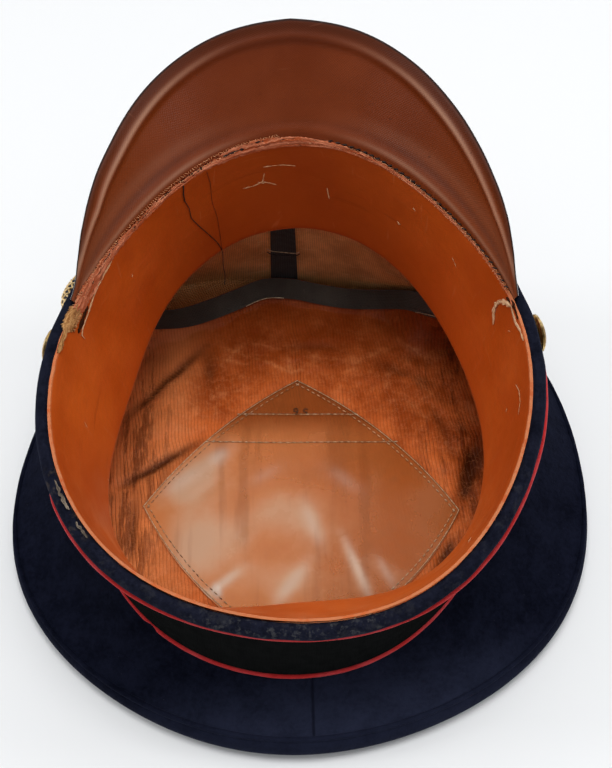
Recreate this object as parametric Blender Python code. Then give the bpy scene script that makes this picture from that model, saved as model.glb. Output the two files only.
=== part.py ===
"""A uniform visor cap that lies upside down on its flat crown.

Metres, +Z up, +Y towards the cap's front. The origin is the middle of the crown's flat face on the
table. Angles run round the cap from +X, so the front is at 90 degrees. Because the cap is upside
down, depth is measured downwards from the rim of the head opening, along the band.
"""

import math

import bmesh
import bpy
from mathutils import Vector

# Head opening and band
HEAD_WIDTH = 0.1660  # between the sweatband's inner faces at the rim, across
HEAD_LENGTH = 0.1828  # the same, front to back
BAND_HEIGHT = 0.0493  # rim to upper piping
BAND_WALL = 0.0034  # wool over its stiffener
BAND_TAPER = 0.0031  # how far the band draws in from the rim to the upper piping
EDGE_STRIP = 0.0077  # rim to lower piping
STRIP_BULGE = 0.0020  # how far the edge strip is rolled out
TRIM = 0.0012  # black trim band
PIPING = 0.0020

# Crown
CROWN_WIDTH = 0.2310
CROWN_LENGTH = 0.2368
CROWN_ROLL = 0.0053  # radius of the crown's rolled edge
FRONT_RISE = 0.0635  # upper piping above the table, at the front
REAR_RISE = 0.0221  # upper piping above the table, at the back
CLOTH = 0.0018
CROWN_SAG = 0.0022
WELT = 0.0020

# Inside
LEATHER = 0.0012
SWEATBAND_WIDTH = 0.0459
SWEATBAND_LEAN = 0.0079  # how far its free edge stands in from the band
LINING = 0.0010
CANVAS = 0.0010
CANVAS_HALF = 56.0  # degrees that the canvas reaches to each side of the front
CANVAS_FADE = 12.0  # degrees over which the lining closes on the crown's wall beside it
CORNER_FADE = 24.0  # degrees over which the lining's front leaves the corner of floor and wall
FOOT_RUN = 0.9  # how far the lining's front slants in, as a share of its rise
TAPE_THICK = 0.0008
TAPE_WIDTH = 0.0090
TAPE_START = 33.0  # degrees round the cap
TAPE_END = 147.0
STAY_WIDTH = 0.0110
STAY_THICK = 0.0015
STAY_OFFSET = -0.0033  # middle of the stay from the cap's middle line
STAY_CLEAR = 0.0010  # stay's ends from the tape and from the band
SHIELD_WIDTH = 0.1260
SHIELD_LENGTH = 0.1320
SHIELD_THICK = 0.0005
SHIELD_BACK = 0.0137  # middle of the shield behind the middle of the crown
SHIELD_TURN = -3.0  # degrees

# Visor
VISOR_LENGTH = 0.0446
VISOR_THICK = 0.0016
VISOR_SLOPE = 45.0  # degrees above the rim's plane, on the middle line
VISOR_END_SLOPE = 84.0  # degrees, at the sides
VISOR_ROOT = 0.8  # where the visor stands on the rim, as a share of the band's wall from outside
VISOR_MIDDLE = 88.5  # degrees round the cap
VISOR_RELIEF = 0.0009
RIDGE_INSET = 0.0080  # embossed line from the visor's outer edge

# Chin cord and buttons
CORD = 0.0044
CORD_SLACK = 0.0050  # how far the cord stands off the band beside the visor's left end
CORD_SPREAD = 0.0130  # length over which the two strands part round a button
BUTTON_WIDTH = 0.0140
BUTTON_HEIGHT = 0.0030
SHANK = 0.0030
BUTTON_RIGHT_AT = 9.0  # degrees round the cap
BUTTON_LEFT_AT = 171.0

# Fits
GAP = 0.0003  # clearance between pieces that touch
LOOSE = 0.0005  # the same between the lining, its tape, the stay and the canvas

# Mesh fineness
STATIONS = 48  # sections round the cap
TUBE_DETAIL = 1  # gives six sides
VISOR_STEPS = 30
BUTTON_SIDES = 12
CORD_TURN_STEPS = 5
CANVAS_ROLL_STEPS = 3
SHARP = 35.0  # degrees between faces from which an edge shows sharp
FLAT_SHARES = (0, 0.6)  # rings of the crown's flat, from its middle
ROLL_SHARES = (0, 0.25, 0.5, 0.75, 1)
SIDE_SHARES = (0, 0.15, 0.4, 0.7, 1)
BAND_SHARES = (0, 0.12, 0.35, 0.65, 1)
LEAN_POWER = 1.3  # how late the sweatband leans in

# Worked out from the sizes above
LAYERS = BAND_WALL + GAP + LEATHER
BAND_HALF_X = HEAD_WIDTH / 2 + LAYERS
BAND_HALF_Y = HEAD_LENGTH / 2 + LAYERS
TILT = math.atan2(FRONT_RISE - REAR_RISE, 2 * BAND_HALF_Y)
UPPER_RISE = (FRONT_RISE + REAR_RISE) / 2
SEAT = PIPING / 2 + GAP  # from a piping's middle to what it lies against
WELT_SEAT = WELT / 2 + GAP
TRIM_FACE = GAP - SEAT + TRIM  # trim band's outer face from the band's
STRAND = (CORD + GAP) / 2  # each strand from the cord's middle line
CORD_LOOP = SHANK / 2 + GAP + CORD / 2  # the same where the cord goes round a button
CORD_LINE = EDGE_STRIP + SEAT + CORD / 2 + CORD_LOOP  # cord's middle line below the rim
OPENING_NORMAL = Vector((0, -math.sin(TILT), math.cos(TILT)))

# Waves of the outlines. Each row: waves round the cap, cosine part, sine part.
# The parts are shares of the ring's own half width and half length.
OPENING_WAVES = [
    (2, -0.021, 0.009),
    (3, -0.005, -0.041),
    (4, 0.008, 0.007),
    (5, 0.004, 0.006),
]
CROWN_WAVES = [
    (1, 0.004, -0.004),
    (2, 0.010, -0.011),
    (3, 0.013, 0.003),
    (4, -0.019, 0.014),
    (5, -0.009, -0.013),
]
# Shares of BAND_HEIGHT
RIM_LIFT_WAVES = [(2, 0.098, 0.002), (3, -0.011, -0.007)]
UPPER_OUT_WAVES = [(2, -0.071, 0.001), (3, 0.036, 0.047)]
# Shares of SWEATBAND_LEAN
LEAN_WAVES = [
    (1, -0.06, -0.32),
    (2, -0.23, -0.11),
    (3, 0.02, 0.56),
    (4, 0.30, 0.08),
]
FREE_EDGE_DROP = 0.13  # share of SWEATBAND_WIDTH that the free edge is lower at the front

# The visor's sections. Each row: degrees from the visor's middle, reach on the right and on the
# left as shares of VISOR_LENGTH, and where the root fold lies as a share of the reach there.
VISOR_SECTIONS = [
    (0, 1.000, 1.000, 0.14),
    (10, 0.960, 0.964, 0.15),
    (20, 0.878, 0.885, 0.18),
    (30, 0.789, 0.789, 0.22),
    (40, 0.710, 0.683, 0.26),
    (50, 0.623, 0.581, 0.29),
    (60, 0.497, 0.417, 0.32),
    (67, 0.319, 0.237, 0.34),
    (72, 0.146, 0.090, 0.36),
    (75, 0.050, 0.045, 0.38),
]
# Relief of the visor's underside. Each row: zone (roll from root to fold, field from fold to ridge,
# rim from ridge to edge), place as a share of the zone, height as a share of VISOR_RELIEF.
VISOR_PROFILE = [
    ("roll", 0.00, 0.0),
    ("roll", 0.50, 1.0),
    ("roll", 1.00, -0.6),
    ("field", 0.40, -0.9),
    ("field", 0.85, -0.7),
    ("field", 1.00, 0.6),
    ("rim", 0.30, 0.1),
    ("rim", 1.00, 0.0),
]

# The band's rim and rolled edge strip. Each row: inset as a share of BAND_WALL, bulge as a share of
# STRIP_BULGE, depth as a share of EDGE_STRIP.
RIM_PROFILE = [
    (1.0, 0.00, 0.16),
    (0.6, 0.00, 0.05),
    (0.2, 0.00, 0.06),
    (0.0, 0.70, 0.20),
    (0.0, 1.00, 0.42),
    (0.0, 0.65, 0.66),
]

# The button's head. Each row: radius as a share of half BUTTON_WIDTH, height as a share of
# BUTTON_HEIGHT.
BUTTON_PROFILE = [(0.94, 0.0), (1.00, 0.3), (0.75, 0.8)]

# Where the cord stands off the band. Each row: degrees round the cap, half width in degrees, share
# of CORD_SLACK.
SLACKS = [(156, 8, 1.0), (22, 8, 0.35)]

# Dents in the crown's side. Each row: degrees round the cap, half width in degrees, and depth as a
# share of CROWN_SAG, negative where the cloth stands out.
CROWN_DENTS = [
    (205, 16, 0.8),
    (232, 12, -0.6),
    (270, 10, 0.5),
    (318, 14, -0.7),
    (345, 12, 0.6),
]

# Folds of the lining's wall. Each row: degrees round the cap, half width in degrees, and height as
# a share of LINING.
LINING_FOLDS = [
    (152, 7, 1.6),
    (176, 8, 1.4),
    (198, 7, 1.2),
    (8, 7, 1.3),
    (340, 8, 1.5),
    (315, 7, 1.2),
]

# Front edge of the lining, under its tape. Each row: degrees round the cap, height of the edge as
# a share of the crown wall's width there, and how far it stands off the canvas as a share of
# TAPE_WIDTH.
LINING_EDGE = [
    (0, 1.00, 0.00),
    (22, 0.98, 0.00),
    (34, 0.80, 0.06),
    (45, 0.55, 0.20),
    (52, 0.38, 0.20),
    (60, 0.20, 0.12),
    (68, 0.13, 0.28),
    (75, 0.12, 0.44),
    (82, 0.12, 0.42),
    (90, 0.12, 0.28),
    (97, 0.12, 0.36),
    (105, 0.17, 1.03),
    (112, 0.24, 1.42),
    (120, 0.24, 1.33),
    (128, 0.30, 0.78),
    (135, 0.45, 0.12),
    (146, 0.75, 0.00),
    (158, 0.98, 0.00),
    (180, 1.00, 0.00),
]


def clear_scene():
    for obj in list(bpy.data.objects):
        bpy.data.objects.remove(obj, do_unlink=True)


def make_material(name, colour, roughness, metallic=0.0):
    material = bpy.data.materials.new(name)
    material.use_nodes = True
    shader = material.node_tree.nodes["Principled BSDF"]
    shader.inputs["Base Color"].default_value = (*colour, 1.0)
    shader.inputs["Roughness"].default_value = roughness
    shader.inputs["Metallic"].default_value = metallic
    return material


def waves(rows, angle):
    """Sum of a table's waves at an angle in radians."""
    return sum(c * math.cos(n * angle) + s * math.sin(n * angle) for n, c, s in rows)


def slope_at(rows, index, column):
    low, high = max(index - 1, 0), min(index + 1, len(rows) - 1)
    return (rows[high][column] - rows[low][column]) / (rows[high][0] - rows[low][0])


def between(rows, place, column):
    """A table's column at a place in its first column, on a smooth curve through its rows."""
    if place <= rows[0][0]:
        return rows[0][column]
    if place >= rows[-1][0]:
        return rows[-1][column]
    index = max(i for i in range(len(rows) - 1) if rows[i][0] <= place)
    width = rows[index + 1][0] - rows[index][0]
    share = (place - rows[index][0]) / width
    start, end = rows[index][column], rows[index + 1][column]
    lean_in = width * slope_at(rows, index, column)
    lean_out = width * slope_at(rows, index + 1, column)
    rise = share * share * (3 - 2 * share)
    ease_in = share * (1 - share) ** 2
    ease_out = share * share * (share - 1)
    return start + (end - start) * rise + lean_in * ease_in + lean_out * ease_out


def angle_from(angle, degrees):
    """Smallest turn in degrees from a direction in degrees to an angle in radians."""
    return (math.degrees(angle) - degrees + 180) % 360 - 180


def bump(angle, rows):
    """Sum of a table's rounded bumps at an angle."""
    return sum(height * math.exp(-((angle_from(angle, at) / half) ** 2)) for at, half, height in rows)


def eased(share):
    share = min(max(share, 0), 1)
    return share * share * (3 - 2 * share)


def stations():
    return [2 * math.pi * i / STATIONS for i in range(STATIONS)]


def ring_point(angle, grow, depth):
    """A point of the band, grow outside the opening's outline and depth below its rim."""
    swell = 1 + waves(OPENING_WAVES, angle)
    lift = BAND_HEIGHT * waves(RIM_LIFT_WAVES, angle) * (1 - depth / BAND_HEIGHT / 2)
    x = (BAND_HALF_X * swell + grow) * math.cos(angle)
    y = (BAND_HALF_Y * swell + grow) * math.sin(angle)
    down = depth - lift - BAND_HEIGHT
    return Vector(
        (
            x,
            y * math.cos(TILT) + down * math.sin(TILT),
            UPPER_RISE + y * math.sin(TILT) - down * math.cos(TILT),
        )
    )


def band_face(angle, depth):
    """How far the band's outer face stands outside the opening's outline."""
    at_upper = BAND_HEIGHT * waves(UPPER_OUT_WAVES, angle) - BAND_TAPER
    return at_upper * depth / BAND_HEIGHT


def face_point(angle, out, depth):
    return ring_point(angle, band_face(angle, depth) + out, depth)


def along_ring(angle, depth):
    """Direction round the band at an angle."""
    step = math.radians(0.5)
    return (ring_point(angle + step, 0, depth) - ring_point(angle - step, 0, depth)).normalized()


def outward(angle, depth):
    return along_ring(angle, depth).cross(OPENING_NORMAL).normalized()


class CrownSection:
    """The crown's outer surface at one angle: flat, rolled edge, then the side up to the band."""

    def __init__(self, angle):
        self.angle = angle
        swell = 1 + waves(CROWN_WAVES, angle)
        half_x, half_y = CROWN_WIDTH / 2 * swell, CROWN_LENGTH / 2 * swell
        edge = Vector((half_x * math.cos(angle), half_y * math.sin(angle), CROWN_ROLL))
        self.out = Vector((edge.x, edge.y, 0)).normalized()
        self.middle = edge - self.out * CROWN_ROLL
        self.top = face_point(angle, 0, BAND_HEIGHT + SEAT)
        reach = self.top - self.middle
        across, height = reach.dot(self.out), reach.z
        direction = math.atan2(height, across)
        self.seam = direction - math.acos(CROWN_ROLL / math.hypot(across, height))
        self.seam_point = self.roll_point(self.seam, 0)
        self.width = (self.top - self.seam_point).length
        self.sag = CROWN_SAG * (1 + bump(angle, CROWN_DENTS)) * (1 - front_share(angle))

    def normal(self, roll):
        return self.out * math.cos(roll) + Vector((0, 0, math.sin(roll)))

    def roll_at(self, share):
        """The roll's direction, from the flat (share 0) to the seam (share 1)."""
        return (self.seam + math.pi / 2) * share - math.pi / 2

    def roll_point(self, roll, inset):
        return self.middle + self.normal(roll) * (CROWN_ROLL - inset)

    def side_point(self, share, inset):
        """A point of the side, from the seam (share 0) to the band (share 1)."""
        straight = self.seam_point.lerp(self.top, share)
        sag = self.sag * 4 * share * (1 - share)
        return straight - self.normal(self.seam) * (sag + inset)

    def flat_point(self, share, inset):
        """A point of the flat, from its middle (share 0) to where it starts to roll up."""
        return Vector((self.middle.x * share, self.middle.y * share, inset))


def front_share(angle):
    """1 where the canvas stands behind the front, 0 away from it."""
    off = abs(angle_from(angle, 90))
    return eased((CANVAS_HALF + CANVAS_FADE - off) / CANVAS_FADE)


def lining_inset(angle):
    """From the crown's outer surface to the lining's outer face."""
    return CLOTH + GAP + (CANVAS + LOOSE) * front_share(angle)


def add_mesh(name, verts, faces, material):
    mesh = bpy.data.meshes.new(name)
    shape = bmesh.new()
    placed = [shape.verts.new(v) for v in verts]
    for face in faces:
        shape.faces.new([placed[i] for i in face])
    bmesh.ops.recalc_face_normals(shape, faces=shape.faces)
    shape.to_mesh(mesh)
    shape.free()
    mesh.materials.append(material)
    mesh.shade_smooth()
    mesh.set_sharp_from_angle(angle=math.radians(SHARP))
    obj = bpy.data.objects.new(name, mesh)
    bpy.context.scene.collection.objects.link(obj)
    return obj


def halves(corners, turned=False):
    """A four-cornered face as two triangles, cut between its first and third corners, or the others.

    Faces that lie close together are cut the same way, so that a bent pair keeps its clearance.
    """
    a, b, c, d = corners
    return [(b, c, d), (b, d, a)] if turned else [(a, b, c), (a, c, d)]


def ring_solid(name, profile, material):
    """A closed ring whose section at each station is profile(angle), a closed loop of points."""
    verts = []
    for angle in stations():
        verts.extend(profile(angle))
    size = len(verts) // STATIONS
    faces = []
    for i in range(STATIONS):
        after = (i + 1) % STATIONS
        for j in range(size):
            side = (j + 1) % size
            corners = (i * size + j, after * size + j, after * size + side, i * size + side)
            faces.extend(halves(corners))
    return add_mesh(name, verts, faces, material)


def wall_solid(name, outer, inner, closed, material):
    """A wall between two grids of points, outer[i][j] and inner[i][j], with its edges closed."""
    verts, faces = [], []
    for first, second in zip(outer, inner):
        verts.extend(first)
        verts.extend(reversed(second))
    across = len(outer[0]) + len(inner[0])
    rows = len(outer)
    for i in range(rows if closed else rows - 1):
        after = (i + 1) % rows
        for j in range(across):
            side = (j + 1) % across
            corners = (i * across + j, after * across + j, after * across + side, i * across + side)
            faces.extend(halves(corners, turned=j >= len(outer[0])))
    if not closed:
        for i in (0, rows - 1):
            start = i * across
            for j in range(len(outer[0]) - 1):
                end = start + across - 1
                faces.append((start + j, start + j + 1, end - j - 1, end - j))
    return add_mesh(name, verts, faces, material)


def dish_solid(name, outer, inner, material):
    """A wall between two grids that both close on a middle point, the first point of each row."""
    verts = [outer[0][0], inner[0][0]]
    across = len(outer[0]) + len(inner[0]) - 2
    for first, second in zip(outer, inner):
        verts.extend(first[1:])
        verts.extend(reversed(second[1:]))
    faces = []
    for i in range(STATIONS):
        here, after = 2 + i * across, 2 + (i + 1) % STATIONS * across
        faces.append((0, here, after))
        faces.append((1, here + across - 1, after + across - 1))
        for j in range(across - 1):
            corners = (here + j, after + j, after + j + 1, here + j + 1)
            faces.extend(halves(corners, turned=j >= len(outer[0]) - 1))
    return add_mesh(name, verts, faces, material)


def tube(name, points, radius, material):
    """A round tube on a closed path."""
    curve = bpy.data.curves.new(name, "CURVE")
    curve.dimensions = "3D"
    curve.bevel_depth = radius
    curve.bevel_resolution = TUBE_DETAIL
    curve.resolution_u = 1
    curve.render_resolution_u = 0
    spline = curve.splines.new("POLY")
    spline.points.add(len(points) - 1)
    for point, place in zip(spline.points, points):
        point.co = (*place, 1)
    spline.use_cyclic_u = True
    curve.materials.append(material)
    obj = bpy.data.objects.new(name, curve)
    bpy.context.scene.collection.objects.link(obj)
    return obj


def make_crown_top(wool):
    outer, inner = [], []
    for angle in stations():
        section = CrownSection(angle)
        end = section.seam - WELT_SEAT / CROWN_ROLL
        rows = ([], [])
        for grid_row, inset in zip(rows, (0, CLOTH)):
            grid_row.extend(section.flat_point(share, inset) for share in (*FLAT_SHARES, 1))
            for share in ROLL_SHARES[1:]:
                roll = -math.pi / 2 + (end + math.pi / 2) * share
                grid_row.append(section.roll_point(roll, inset))
        outer.append(rows[0])
        inner.append(rows[1])
    return dish_solid("crown_top", outer, inner, wool)


def make_crown_side(wool):
    outer, inner = [], []
    for angle in stations():
        section = CrownSection(angle)
        start = WELT_SEAT / section.width
        shares = [start + (1 - start) * share for share in SIDE_SHARES]
        outer.append([section.side_point(share, 0) for share in shares])
        inner.append([section.side_point(share, CLOTH) for share in shares])
    return wall_solid("crown_side", outer, inner, True, wool)


def make_crown_welt(wool):
    points = [CrownSection(angle).seam_point for angle in stations()]
    return tube("crown_welt", points, WELT / 2, wool)


def make_band_core(wool):
    lower_end = BAND_HEIGHT + PIPING / 2
    middle = (EDGE_STRIP + BAND_HEIGHT) / 2

    def profile(angle):
        rows = [(b * STRIP_BULGE - i * BAND_WALL, d * EDGE_STRIP) for i, b, d in RIM_PROFILE]
        rows.append((0, EDGE_STRIP - SEAT))
        rows.extend((-SEAT, depth) for depth in (EDGE_STRIP - SEAT, middle, lower_end))
        rows.extend((-BAND_WALL, depth) for depth in (lower_end, middle))
        return [face_point(angle, out, depth) for out, depth in rows]

    return ring_solid("band_core", profile, wool)


def make_band_trim(cloth):
    inner, outer = GAP - SEAT, TRIM_FACE
    start, end = EDGE_STRIP + SEAT, BAND_HEIGHT - SEAT
    depths = (start, (EDGE_STRIP + BAND_HEIGHT) / 2, end)

    def profile(angle):
        back = [face_point(angle, inner, depth) for depth in depths]
        front = [face_point(angle, outer, depth) for depth in reversed(depths)]
        return back + front

    return ring_solid("band_trim", profile, cloth)


def make_piping(name, depth, cloth):
    points = [face_point(angle, 0, depth) for angle in stations()]
    return tube(name, points, PIPING / 2, cloth)


def sweatband_point(angle, share, inset):
    """A point of the sweatband's outer face, from the rim (share 0) to its free edge (share 1)."""
    depth = SWEATBAND_WIDTH * share * (1 + FREE_EDGE_DROP * math.sin(angle) * share)
    lean = SWEATBAND_LEAN * (1 + waves(LEAN_WAVES, angle)) * share ** LEAN_POWER
    return face_point(angle, -BAND_WALL - GAP - lean - inset, depth)


def make_sweatband(leather):
    outer = [[sweatband_point(angle, share, 0) for share in BAND_SHARES] for angle in stations()]
    inner = [[sweatband_point(angle, share, LEATHER) for share in BAND_SHARES] for angle in stations()]
    return wall_solid("sweatband", outer, inner, True, leather)


def lining_edge(angle):
    """The lining's free edge: height as a share of the crown wall's width, and stand-off."""
    turn = math.degrees(angle) % 360
    if turn > 180:
        return 1, 0
    return between(LINING_EDGE, turn, 1), TAPE_WIDTH * max(between(LINING_EDGE, turn, 2), 0)


def corner_share(angle):
    """1 where the lining's front cuts the corner of floor and wall, 0 away from it."""
    off = abs(angle_from(angle, 90))
    return eased((CANVAS_HALF - off) / CORNER_FADE)


def lining_plain(section):
    """The lining's outer face up the roll and the wall, with the directions into the cap."""
    height, _stand = lining_edge(section.angle)
    floor, inset = CLOTH + GAP, lining_inset(section.angle)
    fold = LINING * bump(section.angle, LINING_FOLDS)
    taped = TAPE_START < math.degrees(section.angle) < TAPE_END
    row = []
    for share in ROLL_SHARES:
        roll = section.roll_at(share)
        here = floor + (inset - floor) * min(share * 2, 1)
        row.append((section.roll_point(roll, here), -section.normal(roll)))
    for step, share in enumerate(SIDE_SHARES[1:]):
        place = height - TAPE_WIDTH / section.width * (1 - step / 3) if taped else height * share
        here = inset + fold * math.sin(math.pi * share)
        row.append((section.side_point(place, here), -section.normal(section.seam)))
    return row


def lining_cut(section):
    """The same where the lining leaves the floor at a foot and slants up to its taped edge."""
    height, stand = lining_edge(section.angle)
    upward = Vector((0, 0, 1))
    edge = section.side_point(height, lining_inset(section.angle) + stand)
    start = section.flat_point(FLAT_SHARES[-1], CLOTH + GAP)
    foot = Vector((edge.x, edge.y, start.z)) - section.out * (edge.z - start.z) * FOOT_RUN
    rise = edge - foot
    along = rise.normalized()
    face = upward * along.dot(section.out) - section.out * along.z
    row = [(start.lerp(foot, (2 + i) / 5), upward) for i in range(3)]
    row.append((foot, (upward + face).normalized()))
    taped = [rise.length - TAPE_WIDTH * (1 - step / 3) for step in range(4)]
    row.append((foot + along * taped[0] / 2, face))
    row.extend((foot + along * length, face) for length in taped)
    return row


def lining_section(angle):
    """The lining's outer face from the floor's middle to its free edge, with the directions in."""
    section = CrownSection(angle)
    share = corner_share(angle)
    row = [(section.flat_point(place, CLOTH + GAP), Vector((0, 0, 1))) for place in FLAT_SHARES]
    for plain, cut in zip(lining_plain(section), lining_cut(section)):
        row.append((plain[0].lerp(cut[0], share), plain[1].lerp(cut[1], share).normalized()))
    return row


def make_lining(oilcloth):
    rows = [lining_section(angle) for angle in stations()]
    outer = [[point for point, face in row] for row in rows]
    inner = [[point + face * LINING for point, face in row] for row in rows]
    return dish_solid("lining", outer, inner, oilcloth)


def stations_between(start, end):
    """The stations from start to end, in degrees."""
    return [a for a in stations() if start <= math.degrees(a) <= end]


def skin_solid(name, rows, near, thick, material):
    """A sheet that lies near over the rows' points, along the directions that come with them."""
    outer = [[point + face * near for point, face in row] for row in rows]
    inner = [[point + face * (near + thick) for point, face in row] for row in rows]
    return wall_solid(name, outer, inner, False, material)


def make_front_canvas(canvas):
    """The canvas hangs inside the wall and turns in over the crown's roll under the lining."""
    rows = []
    for angle in stations_between(90 - CANVAS_HALF, 90 + CANVAS_HALF):
        section = CrownSection(angle)
        first = (1 - corner_share(angle)) / 2
        row = []
        for step in range(CANVAS_ROLL_STEPS + 1):
            roll = section.roll_at(first + (1 - first) * step / CANVAS_ROLL_STEPS)
            row.append((section.roll_point(roll, 0), -section.normal(roll)))
        for share in SIDE_SHARES[1:]:
            row.append((section.side_point(share, 0), -section.normal(section.seam)))
        rows.append(row)
    skin_solid("front_canvas", rows, CLOTH + GAP, CANVAS, canvas)


def make_lining_tape(cloth):
    rows = [lining_section(angle)[-4:] for angle in stations_between(TAPE_START, TAPE_END)]
    skin_solid("lining_tape", rows, LINING + LOOSE, TAPE_THICK, cloth)


def make_front_stay(cloth):
    def wall_row(angle):
        section = CrownSection(angle)
        low = lining_edge(angle)[0] + STAY_CLEAR / section.width
        high = 1 - STAY_CLEAR / section.width
        return [section.side_point(low + (high - low) * share, 0) for share in SIDE_SHARES]

    middle = math.pi / 2 - STAY_OFFSET / BAND_HALF_Y
    half = STAY_WIDTH / 2 / BAND_HALF_Y
    step = 2 * math.pi / STATIONS
    rows = []
    for angle in (middle - half, math.pi / 2, middle + half):
        before = math.floor(angle / step) * step
        ends = zip(wall_row(before), wall_row(before + step))
        share = (angle - before) / step
        face = -CrownSection(angle).normal(CrownSection(angle).seam)
        rows.append([(low.lerp(high, share), face) for low, high in ends])
    skin_solid("front_stay", rows, CLOTH + GAP + CANVAS + LOOSE, STAY_THICK, cloth)


def make_sweat_shield(celluloid):
    low = CLOTH + GAP + LINING + GAP
    turn = math.radians(SHIELD_TURN)
    corners = []
    for side, forward in ((1, 0), (0, 1), (-1, 0), (0, -1)):
        x, y = side * SHIELD_WIDTH / 2, forward * SHIELD_LENGTH / 2
        corners.append((x * math.cos(turn) - y * math.sin(turn), x * math.sin(turn) + y * math.cos(turn)))
    verts = [(x, y - SHIELD_BACK, z) for z in (low, low + SHIELD_THICK) for x, y in corners]
    sides = [(i, (i + 1) % 4, (i + 1) % 4 + 4, i + 4) for i in range(4)]
    return add_mesh("sweat_shield", verts, [(0, 1, 2, 3), (4, 5, 6, 7), *sides], celluloid)


def visor_section(angle):
    """Points of the visor's underside from root to edge, and the direction out of the underside."""
    off = angle_from(angle, VISOR_MIDDLE)
    reach_share = between(VISOR_SECTIONS, abs(off), 1 if off < 0 else 2)
    fold = between(VISOR_SECTIONS, abs(off), 3)
    reach = VISOR_LENGTH * reach_share
    ridge = max(1 - RIDGE_INSET / reach, (1 + fold) / 2)
    level = math.cos(angle) ** 2
    slope = math.radians(VISOR_SLOPE + (VISOR_END_SLOPE - VISOR_SLOPE) * level)
    out = outward(angle, 0)
    along = out * math.cos(slope) + OPENING_NORMAL * math.sin(slope)
    face = OPENING_NORMAL * math.cos(slope) - out * math.sin(slope)
    lift = GAP + math.cos(slope) * VISOR_THICK / 2
    root = face_point(angle, -BAND_WALL * VISOR_ROOT, -lift) + face * VISOR_THICK / 2
    zones = {"roll": (0, fold), "field": (fold, ridge), "rim": (ridge, 1)}
    height = VISOR_RELIEF * min(1, 2 * reach_share)
    points = []
    for zone, share, relief in VISOR_PROFILE:
        start, end = zones[zone]
        points.append(root + along * reach * (start + (end - start) * share) + face * height * relief)
    return points, face


def make_visor(lacquer):
    outer, inner = [], []
    start = math.radians(VISOR_MIDDLE - VISOR_SECTIONS[-1][0])
    end = math.radians(VISOR_MIDDLE + VISOR_SECTIONS[-1][0])
    for step in range(VISOR_STEPS + 1):
        angle = start + (end - start) * step / VISOR_STEPS
        points, face = visor_section(angle)
        inner.append(points)
        outer.append([point - face * VISOR_THICK for point in points])
    return wall_solid("visor", outer, inner, False, lacquer)


def from_button(angle):
    """Length along the cord's strands from the nearer button."""
    start, end = math.radians(BUTTON_RIGHT_AT), math.radians(BUTTON_LEFT_AT)
    return max(min(angle - start, end - angle), 0) * BAND_HALF_X


def cord_offset(angle):
    """Half the distance between the cord's two strands."""
    return CORD_LOOP + (STRAND - CORD_LOOP) * eased(from_button(angle) / CORD_SPREAD)


def cord_out(angle):
    free = eased((from_button(angle) - BUTTON_WIDTH / 2) / CORD_SPREAD)
    return TRIM_FACE + GAP + CORD / 2 + CORD_SLACK * free * bump(angle, SLACKS)


def make_chin_cord(braid):
    start, end = math.radians(BUTTON_RIGHT_AT), math.radians(BUTTON_LEFT_AT)
    count = STATIONS
    steps = [start + (end - start) * i / count for i in range(1, count)]
    turns = [math.pi * (i / CORD_TURN_STEPS - 0.5) for i in range(CORD_TURN_STEPS + 1)]
    route = [(a, CORD_LINE - cord_offset(a)) for a in steps]
    for turn in turns:
        side = CORD_LOOP * math.cos(turn) / BAND_HALF_X
        route.append((end + side, CORD_LINE + CORD_LOOP * math.sin(turn)))
    route.extend((a, CORD_LINE + cord_offset(a)) for a in reversed(steps))
    for turn in turns:
        side = CORD_LOOP * math.cos(turn) / BAND_HALF_X
        route.append((start - side, CORD_LINE - CORD_LOOP * math.sin(turn)))
    points = [face_point(angle, cord_out(angle), depth) for angle, depth in route]
    return tube("chin_cord", points, CORD / 2, braid)


def make_button(name, degrees, brass):
    """A shank through the cord's loop under a low domed head, turned about the band's outward line."""
    angle = math.radians(degrees)
    head = GAP + CORD + GAP
    rows = [(SHANK / 2, 0), (SHANK / 2, head)]
    rows.extend((BUTTON_WIDTH / 2 * r, head + BUTTON_HEIGHT * h) for r, h in BUTTON_PROFILE)
    base = face_point(angle, TRIM_FACE + GAP, CORD_LINE)
    axis = outward(angle, CORD_LINE)
    across = along_ring(angle, CORD_LINE)
    upward = axis.cross(across)
    verts = [base, base + axis * (head + BUTTON_HEIGHT)]
    for i in range(BUTTON_SIDES):
        turn = 2 * math.pi * i / BUTTON_SIDES
        spoke = across * math.cos(turn) + upward * math.sin(turn)
        verts.extend(base + axis * height + spoke * radius for radius, height in rows)
    faces = []
    for i in range(BUTTON_SIDES):
        here, after = 2 + i * len(rows), 2 + (i + 1) % BUTTON_SIDES * len(rows)
        faces.append((0, here, after))
        faces.append((1, here + len(rows) - 1, after + len(rows) - 1))
        for j in range(len(rows) - 1):
            faces.append((here + j, after + j, after + j + 1, here + j + 1))
    return add_mesh(name, verts, faces, brass)


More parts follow.
